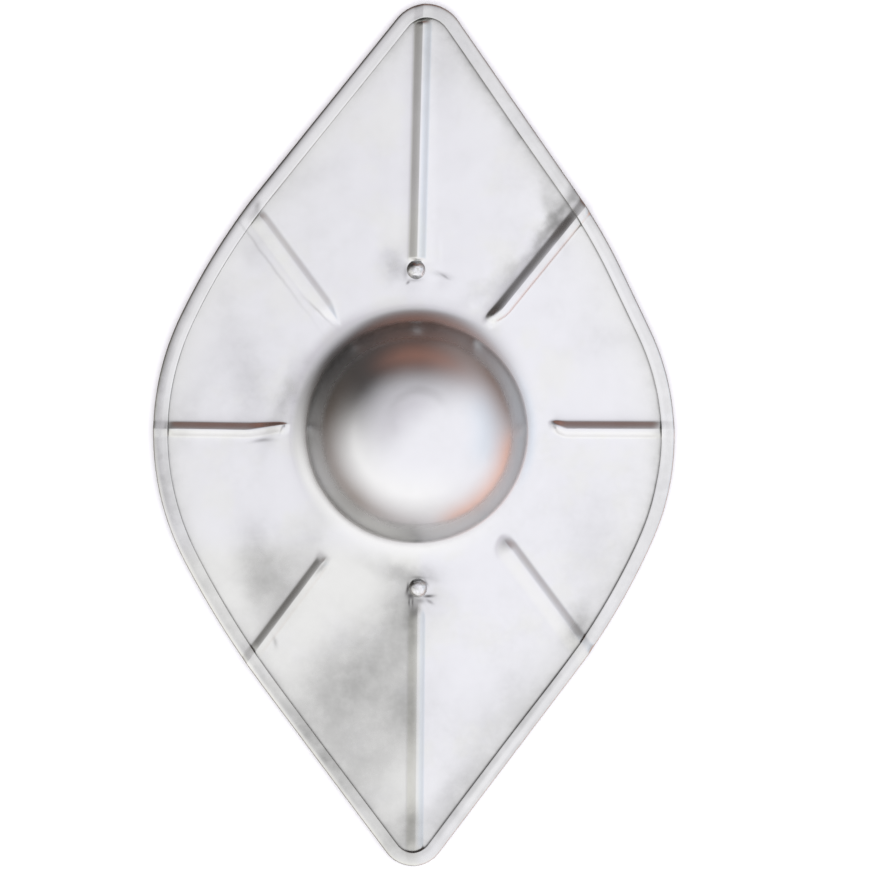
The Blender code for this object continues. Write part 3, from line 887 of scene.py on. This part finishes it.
def strap_mesh(sizes, upper, lower):
    """The strap: flat at both ends, rolled forward into a handle in the middle."""
    stations, from_end, curled, middle = strap_stations(sizes, upper, lower)
    thick = sizes.thickness
    mid_width, mid_depth = sizes.handle_width - thick, sizes.handle_depth - thick
    half_turn = math.pi - math.asin(sizes.seam_gap / mid_width)
    soft = EDGE_ROUNDING / (sizes.strap_width / 2) * (1 - np.cos(np.linspace(0.0, math.pi / 2, 6)))
    inner = np.linspace(-1.0 + soft[-1], 1.0 - soft[-1], STRAP_STEPS)
    shares = np.concatenate((soft[:-1] - 1, inner, 1 - soft[-2::-1]))
    narrowing = eased(from_end, CORNER_ROUNDING) * CORNER_ROUNDING
    half_width = (sizes.strap_width / 2 - narrowing)[:, None]
    curl = curled[:, None]
    turn = shares[None] * half_turn
    flat = shares[None] * half_width
    rolled = mid_width / 2 * np.sin(turn)
    rise = mid_depth / 2 * (1 - np.cos(turn)) + sizes.handle_lift
    line = np.stack((flat * (1 - curl) + rolled * curl, rise * curl), axis=2)
    run = np.gradient(line, axis=1)
    run = run / np.linalg.norm(run, axis=2, keepdims=True)
    normal = np.stack((-run[..., 1], run[..., 0]), axis=2)
    from_edge = (1 - np.abs(shares)) * sizes.strap_width / 2
    rounding = EDGE_ROUNDING / (thick / 2)
    full = (1 - rounding * eased(from_edge, EDGE_ROUNDING))[None]
    full = full * (1 - rounding * eased(from_end, EDGE_ROUNDING))[:, None]
    half = (full * thick / 2)[..., None]
    outline = np.concatenate((line - normal * half, (line + normal * half)[:, ::-1]), axis=1)
    count, around = outline.shape[:2]
    points = np.empty((count, around, 3))
    points[..., 0] = outline[..., 0] + middle[:, None]
    points[..., 1] = stations[:, None]
    points[..., 2] = outline[..., 1] + thick / 2 + STRAP_LIFT
    rows = np.arange(count - 1)[:, None] * around
    here, there = np.arange(around)[None], np.roll(np.arange(around), -1)[None]
    faces = np.stack((rows + here, rows + here + around, rows + there + around, rows + there), axis=-1)
    faces = faces.reshape(-1, 4).tolist()
    last = (count - 1) * around
    for k in range(around // 2 - 1):
        quad = (k, k + 1, around - 2 - k, around - 1 - k)
        faces.append(quad)
        faces.append(tuple(last + corner for corner in reversed(quad)))
    mesh = bpy.data.meshes.new("grip")
    mesh.from_pydata(points.reshape(-1, 3).tolist(), [], faces)
    store(mesh, "curled", np.repeat(curled, around))
    return mesh


def strap_tree():
    """Geometry nodes that dress the rolled strap and bore its two rivet holes."""
    wire, given = start_tree("Dress the strap", (
        ("Upper spot", "Vector"), ("Lower spot", "Vector"), ("Hole radius", "Float"),
        ("Hammering", "Float"), ("Seed", "Int")))
    curled = wire.add("GeometryNodeInputNamedAttribute", {"Name": "curled"}, data_type="FLOAT").outputs[0]
    mask = wire.scaled(curled, 1 - END_DENTS, END_DENTS)
    dressed = hammered(wire, given["Geometry"], given["Seed"], GRIP_DENTS, given["Hammering"], mask)
    drill = wire.add("GeometryNodeMeshCylinder", {"Vertices": RIVET_SIDES, "Radius": given["Hole radius"],
                                                  "Depth": DRILL_DEPTH}).outputs[0]
    drills = wire.add("GeometryNodeInstanceOnPoints", {"Points": spots_between(wire, given),
                                                       "Instance": drill}).outputs[0]
    drills = wire.add("GeometryNodeRealizeInstances", {"Geometry": drills}).outputs[0]
    bored = wire.add("GeometryNodeMeshBoolean", operation="DIFFERENCE", solver="EXACT")
    wire.plug(dressed, bored.inputs["Mesh 1"])
    wire.plug(drills, bored.inputs["Mesh 2"])
    return finish_tree(wire, bored.outputs[0], given["Material"])


# ---------------------------------------------------------------- finishes

# Soft stains on the face: x, y, half length, half width in mm, direction in degrees, and how
# strongly each one darkens the steel. Those of the first table end at the lower ridge
LOWER_STAINS = (
    (-33.5, -139.5, 36.0, 21.0, 49, 0.50),      # wide cloud left of the lower ridge
    (-35.5, -186.0, 36.0, 20.0, -61, 0.36),
    (-3.5, -159.0, 28.0, 21.0, 89, 0.50),
    (7.0, -227.0, 22.0, 12.0, 29, 0.65),
    (1.0, -105.0, 20.0, 16.0, 40, 0.60),
    (-2.5, -84.0, 22.0, 7.7, -26, 0.42),
)
STAINS = (
    (-88.0, -79.5, 23.0, 13.0, -74, 0.45),      # along the lower left ridge
    (-71.0, -79.0, 36.0, 12.0, 66, 0.23),
    (84.3, 127.0, 36.0, 3.5, 52, 0.62),         # along the upper right ridge
    (81.5, 129.0, 17.0, 5.0, -72, 0.36),
    (52.0, 88.0, 25.0, 6.7, 24, 0.22),
    (24.0, -207.0, 36.0, 7.8, 59, 0.23),        # faint clouds elsewhere
    (60.0, -158.0, 36.0, 18.8, 44, 0.17),
    (95.0, -111.0, 14.5, 7.4, 68, 0.46),
    (105.8, -66.0, 35.0, 18.7, -83, 0.12),
    (116.0, 54.0, 17.0, 8.7, 12, 0.07),
    (13.0, 226.0, 36.0, 15.0, -85, 0.17),
    (-96.5, 33.0, 34.6, 12.4, -73, 0.19),
    (-129.0, 18.0, 36.0, 9.3, 64, 0.12),
    (-75.0, 20.0, 25.0, 5.0, 66, 0.32),
    (-10.6, 98.0, 9.6, 7.0, 88, 0.32),
    (-89.0, 106.6, 10.0, 9.0, 84, 0.15),
    (-57.0, 151.0, 28.0, 8.0, 31, 0.06),
)

# Small sharp marks, with the same columns. Round the rivets they are partly dark marks and partly painted
# shade in small dents
MARKS_AND_SHADE = (
    (-87.9, -3.3, 5.5, 1.1, 8, 0.45),           # below the left ridge
    (-80.3, -119.9, 3.0, 1.2, 100, 0.30),       # on the hem
    (-90.6, 133.0, 2.6, 1.7, 60, 0.40),
    (16.9, 92.4, 5.2, 1.6, -15, 0.25),          # beside the upper rivet
    (18.5, 91.4, 2.4, 0.7, -30, 0.35),
    (-3.2, 88.6, 1.4, 0.8, 50, 0.60),
    (-4.6, 95.0, 4.2, 1.5, 85, 0.32),
    (0.5, 90.0, 4.0, 1.1, 0, 0.32),
    (-1.6, -93.6, 2.0, 1.9, 0, 0.85),           # round the lower rivet
    (-3.4, -90.6, 2.6, 0.9, 70, 0.60),
    (-2.5, -97.2, 2.4, 0.5, 90, 0.75),
    (-0.6, -97.2, 2.4, 0.5, 90, 0.70),
    (8.6, -93.4, 3.2, 0.9, 0, 0.90),
    (9.4, -96.7, 2.6, 1.1, -35, 0.50),
    (3.6, -96.2, 3.0, 1.9, 0, 0.50),
    (-3.1, -88.8, 3.0, 0.8, 88, 0.85),
    (7.1, -85.6, 2.0, 0.8, -60, 0.55),
    (2.6, -82.8, 4.0, 0.9, 0, 0.50),
    (-86.0, 103.5, 36.0, 0.9, 126.6, 0.18),     # foot of the upper left ridge
    (-54.8, 71.5, 9.0, 0.8, 136, 0.25),
    (-76.0, 4.2, 2.4, 0.6, 65, 0.35),           # start of the left ridge
    (-53.6, -76.5, 5.0, 1.3, 53, 0.35),         # start of the lower left ridge
)

# Painted shade: dark crescents on the upper left of the rivet heads, with the same columns
HEAD_SHADE = (
    (-1.1, 98.4, 3.6, 1.3, 38, 0.60),
    (1.6, -84.5, 4.2, 1.1, 12, 0.50),
    (-1.4, -87.6, 3.2, 1.0, 72, 0.50),
)


def stain_group():
    """Shader group: how much one soft stain covers a point."""
    wire, given = group_tree("Soft stain", (
        "Position", "Centre", "Turn", "Half length", "Half width", "Strength"), "Cover", "ShaderNodeTree")
    part = wire.turned(wire.vector("SUBTRACT", given["Position"], given["Centre"]), given["Turn"])
    along = wire.math("DIVIDE", part["X"], given["Half length"])
    across = wire.math("DIVIDE", part["Y"], given["Half width"])
    far = wire.plus(wire.times(along, along), wire.times(across, across))
    cover = wire.math("EXPONENT", wire.times(far, -1.0))
    return wire.give(wire.times(cover, given["Strength"]))


def stain_cover(wire, one_stain, stains, position):
    """How much all the stains of a table together cover a point."""
    clean = 1.0
    for x, y, half_length, half_width, degrees, strength in stains:
        cover = wire.call(one_stain, {
            "Position": position, "Centre": (x * MM, y * MM, 0.0), "Turn": -math.radians(degrees),
            "Half length": half_length * MM, "Half width": half_width * MM, "Strength": strength})
        clean = wire.times(clean, wire.minus(1.0, cover))
    return wire.minus(1.0, clean)


def emptied(owner):
    """The wiring of a material or a world, cleared of its nodes."""
    owner.use_nodes = True
    owner.node_tree.nodes.clear()
    return Wiring(owner.node_tree)


def start_material(name):
    """A material without nodes, the wiring to fill it, and the place on the piece to finish."""
    material = bpy.data.materials.new(name)
    wire = emptied(material)
    return material, wire, wire.add("ShaderNodeTexCoord").outputs


def finish_metal(wire, colour_of, roughness, relief=None, strength=0.0, depth=0.0):
    """End a material as bare metal with a fine relief."""
    values = {"Base Color": colour_of, "Metallic": 1.0, "Roughness": roughness}
    if relief is not None:
        values["Normal"] = wire.add("ShaderNodeBump", {"Height": relief, "Strength": strength,
                                                       "Distance": depth}).outputs[0]
    shader = wire.add("ShaderNodeBsdfPrincipled", values)
    wire.add("ShaderNodeOutputMaterial", {"Surface": shader.outputs[0]})


# Noise in the sheet's finish: fineness per metre, detail and, where it is stated, roughness
CLOUDS, MOTTLING, TONES = (22.0, 4.0, 0.6), (110.0, 5.0, 0.62), (30.0, 4.0, 0.6)
GRAIN, TEARING = (1400.0, 3.0), (60.0, 3.0)

# How that noise is used: the values that it runs between, and the strength at each of them
STAIN_MOTTLING = (0.25, 0.7, 0.88, 1.12)
WEAR_AND_SHADE_MOTTLING = (0.30, 0.65, 0.75, 1.25)
WORN_CLOUDS, WORN_MOTTLING = (0.38, 0.68, 0.0, 1.0), (0.30, 0.75, 0.3, 1.0)
WARM_CLOUDS, WARM_MOTTLING = (0.47, 0.65, 0.0, 0.6), (0.3, 0.6, 0.75, 1.1)

RAGGED_STAINS = (0.016, 0.016, 0.0)     # how far the noise tears the edges of stains
RAGGED_MARKS = (0.003, 0.003, 0.0)      # and of marks
TONE_PLACE = (0.7, 0.3, 0.0)            # picks the clouds of warmer steel
BEYOND_RIDGE = (-1.0 * MM, 5.0 * MM)    # where the lower stains end, to the right
BEYOND_BOSS = (-80.0 * MM, -88.0 * MM)  # and how far down that begins
KEPT_BEYOND = 0.2                       # the share of them that goes on past there
BACK_TO_FACE = (-0.2, 0.0)              # how far up a spot faces, from the back's dirt to the face's
STAINS_ON_BACK = 0.5                    # the share of their strength that shows on the back
STAINED_FROM = (64.0 * MM, 72.0 * MM)   # from the boss centre: the stains set in
WARM_FROM = (66.0 * MM, 76.0 * MM)      # and the warmer tone
LEFT_HALF = (60.0 * MM, -60.0 * MM)     # from here to there the plate grows duller
LEFT_DULLNESS = 0.13                    # by so much in all
WORN_DULLNESS = 0.18                    # and worn patches by so much
ROUGHNESS = (0.14, 0.10)                # what the mottling adds, and the least
SOILED = 0.3                            # what the stains and the seam's dirt and painted shade add to that
ROOT_MIDDLE = 60.0 * MM                 # from the boss centre to the root, which is less polished
ROOT_MATT = (3.0 * MM, 8.0 * MM, 0.14, 0.0)     # away from there, and what it adds
GRAIN_SHARE = 0.25                      # of the grain in the relief
RELIEF = (0.25, 0.08 * MM)              # its strength and depth


def stain_share(wire, place_on, upward, ragged, mottle, off_boss):
    """How much the stains cover the sheet, less on its back and not on the boss, and how much the
    marks do, on its face only."""
    one_stain = stain_group()
    flat = wire.flat(place_on)
    torn = wire.vector("MULTIPLY_ADD", ragged, RAGGED_STAINS, flat)
    side = wire.parts(flat)
    beyond = wire.times(wire.ramp(side["X"], *BEYOND_RIDGE), wire.ramp(side["Y"], *BEYOND_BOSS))
    low = wire.times(stain_cover(wire, one_stain, LOWER_STAINS, torn),
                     wire.scaled(beyond, KEPT_BEYOND - 1, 1.0))
    other = stain_cover(wire, one_stain, STAINS, torn)
    clean = wire.times(wire.minus(1.0, low), wire.minus(1.0, other))
    stain = wire.times(wire.minus(1.0, clean), off_boss, wire.ramp(mottle, *STAIN_MOTTLING),
                       wire.ramp(upward, *BACK_TO_FACE, STAINS_ON_BACK, 1.0))
    marks = stain_cover(wire, one_stain, MARKS_AND_SHADE, wire.vector("MULTIPLY_ADD", ragged, RAGGED_MARKS, flat))
    return stain, wire.times(marks, wire.ramp(upward, *BACK_TO_FACE))


def stored(wire, name):
    """A number stored on the mesh, read in a finish."""
    return wire.add("ShaderNodeAttribute", attribute_name=name).outputs["Fac"]


def polished_steel(name, colours):
    """Hand-polished sheet: soft mottling, worn patches, stains, dirt in the seam, painted shade in and
    beside it and round the boss's root.
    """
    material, wire, here = start_material(name)
    place_on = here["Object"]
    upward = wire.parts(here["Normal"])["Z"]
    cloud = wire.noise(place_on, *CLOUDS)[0]
    mottle = wire.noise(place_on, *MOTTLING)[0]
    grain = wire.noise(place_on, *GRAIN)[0]
    tone = wire.noise(wire.vector("ADD", place_on, TONE_PLACE), *TONES)[0]
    ragged = wire.vector("SUBTRACT", wire.noise(place_on, *TEARING)["Color"], (0.5, 0.5, 0.5))
    from_boss = wire.vector("LENGTH", wire.vector("SUBTRACT", wire.flat(place_on), (*BOSS_CENTRE, 0.0)))
    stain, marks = stain_share(wire, place_on, upward, ragged, mottle,
                               wire.ramp(from_boss, *STAINED_FROM))
    warmth = wire.times(wire.ramp(tone, *WARM_CLOUDS), wire.ramp(from_boss, *WARM_FROM))
    warmer = wire.times(stored(wire, "warm"), wire.ramp(tone, *WARM_MOTTLING))
    steel = wire.mix(wire.math("MAXIMUM", warmth, warmer), colours.steel, colours.warm)
    less_polish = wire.ramp(wire.parts(place_on)["X"], *LEFT_HALF, 0.0, LEFT_DULLNESS)
    worn = wire.times(wire.ramp(cloud, *WORN_CLOUDS), wire.ramp(mottle, *WORN_MOTTLING))
    steel = wire.mix(wire.scaled(worn, WORN_DULLNESS, less_polish), steel, colours.dull)
    wear_and_shade = wire.times(stored(wire, "wear_and_shade"), wire.ramp(mottle, *WEAR_AND_SHADE_MOTTLING))
    grime_and_shade = stored(wire, "grime_and_shade")
    # Besides real stains and dirt, these paint shade: in and beside the seam, round the boss's root and
    # in small dents
    for cover, tint in ((wear_and_shade, colours.stain), (stain, colours.stain), (marks, colours.grime_and_shade),
                        (grime_and_shade, colours.grime_and_shade)):
        steel = wire.mix(cover, steel, tint)
    in_root = wire.math("ABSOLUTE", wire.minus(from_boss, ROOT_MIDDLE))
    rough = wire.scaled(mottle, *ROUGHNESS)
    rough = wire.scaled(wire.math("MAXIMUM", grime_and_shade, stain), SOILED, rough)
    rough = wire.plus(rough, wire.ramp(in_root, *ROOT_MATT))
    finish_metal(wire, steel, rough, wire.scaled(grain, GRAIN_SHARE, mottle), *RELIEF)
    return material


# Noise on the heads, the values of it between which they turn dull, what it adds to the roughness
# and the least roughness
HEAD_MOTTLING, HEAD_WORN, HEAD_ROUGHNESS = (500.0, 4.0), (0.35, 0.7), (0.12, 0.12)


def rivet_steel(name, colours):
    """Rivet heads: hand-polished, with painted shade in dark crescents on the upper left of the rim."""
    material, wire, here = start_material(name)
    mottle = wire.noise(here["Object"], *HEAD_MOTTLING)[0]
    steel = wire.mix(wire.ramp(mottle, *HEAD_WORN), colours.steel, colours.dull)
    # The dark crescents are painted shade, laid on in the seam's dark colour
    marks = stain_cover(wire, stain_group(), HEAD_SHADE, wire.flat(here["Object"]))
    finish_metal(wire, wire.mix(marks, steel, colours.grime_and_shade), wire.scaled(mottle, *HEAD_ROUGHNESS))
    return material


# The same on the grip, where fine lines make it rough, and the relief's strength and depth
DRAWN_OUT = (1.0, 0.04, 1.0)            # stretches the fine lines along the strap
DRAWN_LINES = (1800.0, 3.0)
GRIP_CLOUDS, GRIP_WORN = (60.0, 5.0, 0.65), (0.4, 0.7)
GRIP_ROUGHNESS, GRIP_RELIEF = (0.2, 0.24), (0.3, 0.1 * MM)


def forged_steel(name, colours):
    """Plain satin steel of the grip: drawn along its length, a little cloudy."""
    material, wire, here = start_material(name)
    drawn = wire.add("ShaderNodeMapping", {"Vector": here["Object"], "Scale": DRAWN_OUT}).outputs[0]
    lines = wire.noise(drawn, *DRAWN_LINES)[0]
    cloud = wire.noise(here["Object"], *GRIP_CLOUDS)[0]
    steel = wire.mix(wire.ramp(cloud, *GRIP_WORN), colours.grip, colours.dull)
    finish_metal(wire, steel, wire.scaled(lines, *GRIP_ROUGHNESS), wire.plus(lines, cloud), *GRIP_RELIEF)
    return material


# ---------------------------------------------------------------- operators

WAVY_FROM = (78.0 * MM, 110.0 * MM)     # from the boss centre: the plate grows free to wave
SEAM_DIRT_AND_SHADE = 0.7 * MM                    # how far the dirt and painted shade in the seam spread,
SEAM_SHADE = 3.0 * MM                   # the shade beside it on the plate
SEAM_WARMTH = 14.0 * MM                 # and the warmer tone there
SEAM_BOTTOM, SEAM_TOP = -0.7 * MM, 0.2 * MM     # heights over the face that the seam's dirt and painted shade fill
SEAM_STRENGTH = 0.9                     # of that dirt and painted shade
EDGE_WARMTH, HEM_WARMTH = 0.7, 0.5      # on the plate beside the seam, and on the hem
LOWER_PART = (50.0 * MM, 75.0 * MM)     # from here down the plate turns warmer
LEFT_PART = (-7.0 * MM, -1.0 * MM)      # and from here to the left
DARK_TURN = (0.2, 0.8)                  # how squarely a spot faces the dark side
HEM_MIDDLE = (1.2 * MM, 3.2 * MM)       # from the rim: the hem's dullness turns to that of its middle
HEM_INNER = (4.2 * MM, 6.2 * MM)        # and to that of its inner edge
ROOT_SHADE_SPREAD = (2.6, 6.4, 1.4)           # of the root's painted shade in mm: up the boss, added on the dark side, and out over the plate
                                        # side, and out over the plate


def mark_sheet(mesh, sizes):
    """Store on the sheet where it is free to wave, dirty, worn and warm in tone, and where shade is
    painted.
    """
    points = np.empty(len(mesh.vertices) * 3)
    mesh.vertices.foreach_get("co", points)
    points = points.reshape(-1, 3)
    plan = points[:, :2]
    from_boss = np.hypot(*(plan - BOSS_CENTRE).T)
    strap = (np.abs(plan[:, 0] - BOSS_CENTRE[0]) < STRAP_HALF) & (from_boss < STRAP_REACH)
    store(mesh, "loose", step(from_boss, *WAVY_FROM) * ~strap)
    deep = inset(plan)
    height = points[:, 2] - BACK_Z - sizes.thickness
    wider, dirt, shade, rim, middle, inner, root = wear_and_shade_at(plan)
    beside = deep - sizes.hem_width - wider * MM
    # Dirt and painted shade in the seam, where the hem's edge meets the plate
    seam = np.exp(-(beside / SEAM_DIRT_AND_SHADE) ** 2) * (height < SEAM_TOP) * (height > SEAM_BOTTOM)
    store(mesh, "grime_and_shade", SEAM_STRENGTH * dirt * seam)
    inward = step(deep, *HEM_MIDDLE)
    hem = rim * (1 - inward) + middle * inward
    inward = step(deep, *HEM_INNER)
    hem = (hem * (1 - inward) + inner * inward) * (beside <= 0) * (height > SEAM_TOP)
    # Painted shade on the plate beside the seam
    plate = shade * np.exp(-np.maximum(beside, 0.0) / SEAM_SHADE) * (beside > 0)
    # Painted shade round the boss's root, reaching furthest up the boss where it faces the studio's dark
    # side
    facing = (plan - BOSS_CENTRE) @ unit(DARK_SIDE) / np.maximum(from_boss, MM)
    up, added, out = ROOT_SHADE_SPREAD
    spread = np.where(from_boss < ROOT_SHADE_RING, up + added * step(facing, *DARK_TURN), out) * MM
    root_shade = root * np.exp(-((from_boss - ROOT_SHADE_RING) / spread) ** 2)
    store(mesh, "wear_and_shade", plate + hem + root_shade)
    lower_left = step(-plan[:, 1], *LOWER_PART) * step(-plan[:, 0], *LEFT_PART)
    carried = EDGE_WARMTH * np.exp(-np.maximum(beside, 0.0) / SEAM_WARMTH)
    by_edge = np.where(beside > 0, carried, HEM_WARMTH)
    store(mesh, "warm", np.maximum(lower_left, by_edge) * step(from_boss, *WARM_FROM))


class BUCKLER_OT_sheet(bpy.types.Operator):
    """Build the sheet: plate, boss, ridges and folded hem in one piece"""
    bl_idname = "buckler.sheet"
    bl_label = "Shield sheet"

    def execute(self, context):
        sizes, colours = context.scene.buckler_sheet, context.scene.buckler_finish
        sections, top = sheet_sections(sizes)
        mesh = ring_mesh("shield", sections, (*BOSS_CENTRE, top), (*BOSS_CENTRE, top - sizes.thickness))
        mark_sheet(mesh, sizes)
        shield = place("shield", mesh)
        run_tree(shield, press_tree(), {
            "Ridge height": sizes.ridge_height, "Undulation": sizes.undulation, "Seed": float(sizes.seed),
            "Material": polished_steel("Polished sheet steel", colours)})
        hand_over(shield, "polished_steel", "shield_plate")
        return {"FINISHED"}


def rivet_spots():
    """Where the underside of each rivet's head sits on the face."""
    spots = []
    for node in RIVET_NODES:
        low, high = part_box(node)
        middle = (low + high) / 2
        spots.append(Vector((middle.x, middle.y, high.z - bpy.context.scene.buckler_rivet.head_height)))
    return spots


class BUCKLER_OT_rivets(bpy.types.Operator):
    """Build the two domed rivets"""
    bl_idname = "buckler.rivets"
    bl_label = "Rivets"

    def execute(self, context):
        sizes, colours = context.scene.buckler_rivet, context.scene.buckler_finish
        upper, lower = rivet_spots()
        whole = upper.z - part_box(RIVET_NODES[0])[0].z - TAIL_INSET
        rivets = place("rivets", rivet_mesh(sizes, whole))
        run_tree(rivets, rivet_tree(), {
            "Upper spot": upper, "Lower spot": lower, "Hammering": sizes.hammering,
            "Seed": sizes.seed, "Material": rivet_steel("Rivet steel", colours)})
        hand_over(rivets, "rivet_steel", *RIVET_NODES)
        return {"FINISHED"}


class BUCKLER_OT_grip(bpy.types.Operator):
    """Build the rolled strap grip behind the boss"""
    bl_idname = "buckler.grip"
    bl_label = "Hand grip"

    def execute(self, context):
        sizes, colours = context.scene.buckler_grip, context.scene.buckler_finish
        upper, lower = rivet_spots()
        grip = place("grip", strap_mesh(sizes, upper, lower))
        run_tree(grip, strap_tree(), {
            "Upper spot": upper, "Lower spot": lower, "Hole radius": sizes.hole_radius,
            "Hammering": sizes.hammering, "Seed": sizes.seed,
            "Material": forged_steel("Grip strap steel", colours)})
        grip.data.set_sharp_from_angle(angle=math.radians(SHARP_ANGLE))
        hand_over(grip, "grip_steel", "hand_grip")
        return {"FINISHED"}


CAMERA_HEIGHT = 1.8                     # over the plate
FRAME_SPAN = 504.0 * MM                 # width of the picture at the plate
VIEW_CENTRE = (12.2 * MM, 0.4 * MM)     # the shield stands a little left in the picture
SENSOR = 36.0
NEAREST_SEEN = 50.0 * MM                # what is closer to the camera is left out
FLOOR_HALF = 6.0
LOW_LIGHT = (-0.3, -0.7)                # how far down a ray points where the light from below sets in

# Soft panels round the shield, laid over each other in this order: name, bearing (90 is +Y),
# half its spread and the softness of its ends, angle from straight up, half its height and the
# softness of its edges, all in degrees, and its light
PANELS = (
    ("cool wall", (3, 26, 12), (68, 14, 14), (1.52, 1.61, 1.78)),
    ("veil", (132, 67, 41), (26, 4, 33), (0.87, 0.83, 0.92)),
    ("dark side", (126, 75, 41), (86, 40, 25), (0.12, 0.11, 0.11)),
    ("warm wall", (83, 31, 22), (76, 6, 27), (0.69, 0.34, 0.26)),
    ("right corner", (29, 35, 31), (103, 22, 30), (0.26, 0.13, 0.08)),
    ("low shade", (227, 45, 68), (92, 18, 34), (0.26, 0.16, 0.08)),
    ("amber strip", (322, 35, 11), (100, 4, 28), (1.42, 0.46, 0.12)),
    ("bright panel", (235, 64, 34), (60, 11, 31), (2.00, 1.99, 1.99)),
)
PANEL_ANGLES = ("Bearing", "Half spread", "End softness", "Zenith", "Half height", "Edge softness")


def panel_group():
    """Shader group: how much of a ray's light comes from one soft panel."""
    wire, given = group_tree("Soft panel", ("Ray", *PANEL_ANGLES), "Share", "ShaderNodeTree")
    part = wire.turned(given["Ray"], wire.times(given["Bearing"], -1.0))
    across = wire.math("ABSOLUTE", wire.math("ARCTAN2", part["Y"], part["X"]))
    down = wire.math("ARCCOSINE", wire.math("MINIMUM", wire.math("MAXIMUM", part["Z"], -1.0), 1.0))
    down = wire.math("ABSOLUTE", wire.minus(down, given["Zenith"]))
    shares = []
    for off, half, soft in ((across, given["Half spread"], given["End softness"]),
                            (down, given["Half height"], given["Edge softness"])):
        shares.append(wire.ramp(off, wire.minus(half, soft), wire.plus(half, soft), 1.0, 0.0))
    return wire.give(wire.times(*shares))


def studio_world(light):
    """Soft light from above with soft panels round the horizon, and a plain pale background."""
    world = bpy.data.worlds.new("Studio")
    wire = emptied(world)
    ray = wire.add("ShaderNodeTexCoord").outputs["Generated"]
    sky = light.overhead
    one_panel = panel_group()
    for name, across, down, colour_of in PANELS:
        angles = dict(zip(PANEL_ANGLES, map(math.radians, (*across, *down))))
        sky = wire.mix(wire.call(one_panel, {"Ray": ray, **angles}, name), sky, colour_of)
    sky = wire.mix(wire.ramp(wire.parts(ray)["Z"], *LOW_LIGHT), sky, light.low)
    seen = wire.add("ShaderNodeLightPath").outputs["Is Camera Ray"]
    background = wire.add("ShaderNodeBackground", {"Color": wire.mix(seen, sky, light.background),
                                                   "Strength": 1.0})
    wire.add("ShaderNodeOutputWorld", {"Surface": background.outputs[0]})
    return world


def pale_floor(light):
    """Floor finish, clear from below so that the back of the shield can be looked at."""
    material, wire, _ = start_material("Pale floor")
    matt = wire.add("ShaderNodeBsdfDiffuse", {"Color": opaque(light.floor)})
    clear = wire.add("ShaderNodeBsdfTransparent")
    behind = wire.add("ShaderNodeNewGeometry").outputs["Backfacing"]
    mixed = wire.add("ShaderNodeMixShader", {0: behind, 1: matt.outputs[0], 2: clear.outputs[0]})
    wire.add("ShaderNodeOutputMaterial", {"Surface": mixed.outputs[0]})
    return material


class BUCKLER_OT_stage(bpy.types.Operator):
    """Set up the floor, the soft studio light and the camera"""
    bl_idname = "buckler.stage"
    bl_label = "Stage"

    def execute(self, context):
        scene, light = context.scene, context.scene.buckler_studio
        scene.view_settings.view_transform = "Standard"
        scene.world = studio_world(light)
        mesh = bpy.data.meshes.new("floor")
        corners = [(x * FLOOR_HALF, y * FLOOR_HALF, 0.0) for x, y in ((-1, -1), (1, -1), (1, 1), (-1, 1))]
        mesh.from_pydata(corners, [], [(0, 1, 2, 3)])
        mesh.materials.append(pale_floor(light))
        floor = place("floor", mesh)
        floor.visible_glossy = False
        camera = bpy.data.cameras.new("Camera")
        camera.sensor_width = SENSOR
        camera.lens = SENSOR * CAMERA_HEIGHT / FRAME_SPAN
        camera.clip_start = NEAREST_SEEN
        eye = bpy.data.objects.new("Camera", camera)
        eye.location = (*VIEW_CENTRE, CAMERA_HEIGHT + BACK_Z + context.scene.buckler_sheet.thickness)
        scene.collection.objects.link(eye)
        scene.camera = eye
        return {"FINISHED"}


class BUCKLER_PT_panel(bpy.types.Panel):
    bl_label = "Steel Buckler"
    bl_idname = "BUCKLER_PT_panel"
    bl_space_type = "VIEW_3D"
    bl_region_type = "UI"
    bl_category = "Buckler"

    def draw(self, context):
        for operator in OPERATORS:
            self.layout.operator(operator.bl_idname)
        for name in GROUPS:
            group = getattr(context.scene, name)
            box = self.layout.box()
            for key in group.__annotations__:
                box.prop(group, key)


GROUPS = {
    "buckler_sheet": SheetSizes,
    "buckler_rivet": RivetSizes,
    "buckler_grip": GripSizes,
    "buckler_finish": FinishColours,
    "buckler_studio": StudioLight,
}
OPERATORS = (BUCKLER_OT_sheet, BUCKLER_OT_rivets, BUCKLER_OT_grip, BUCKLER_OT_stage)


def register():
    for group in GROUPS.values():
        bpy.utils.register_class(group)
    for name, group in GROUPS.items():
        setattr(bpy.types.Scene, name, PointerProperty(type=group))
    for operator in OPERATORS:
        bpy.utils.register_class(operator)
    bpy.utils.register_class(BUCKLER_PT_panel)


def unregister():
    bpy.utils.unregister_class(BUCKLER_PT_panel)
    for operator in reversed(OPERATORS):
        bpy.utils.unregister_class(operator)
    for name in GROUPS:
        delattr(bpy.types.Scene, name)
    for group in reversed(GROUPS.values()):
        bpy.utils.unregister_class(group)


def main():
    register()
    bpy.ops.buckler.sheet()
    bpy.ops.buckler.rivets()
    bpy.ops.buckler.grip()
    bpy.ops.buckler.stage()


if __name__ == "__main__":
    main()
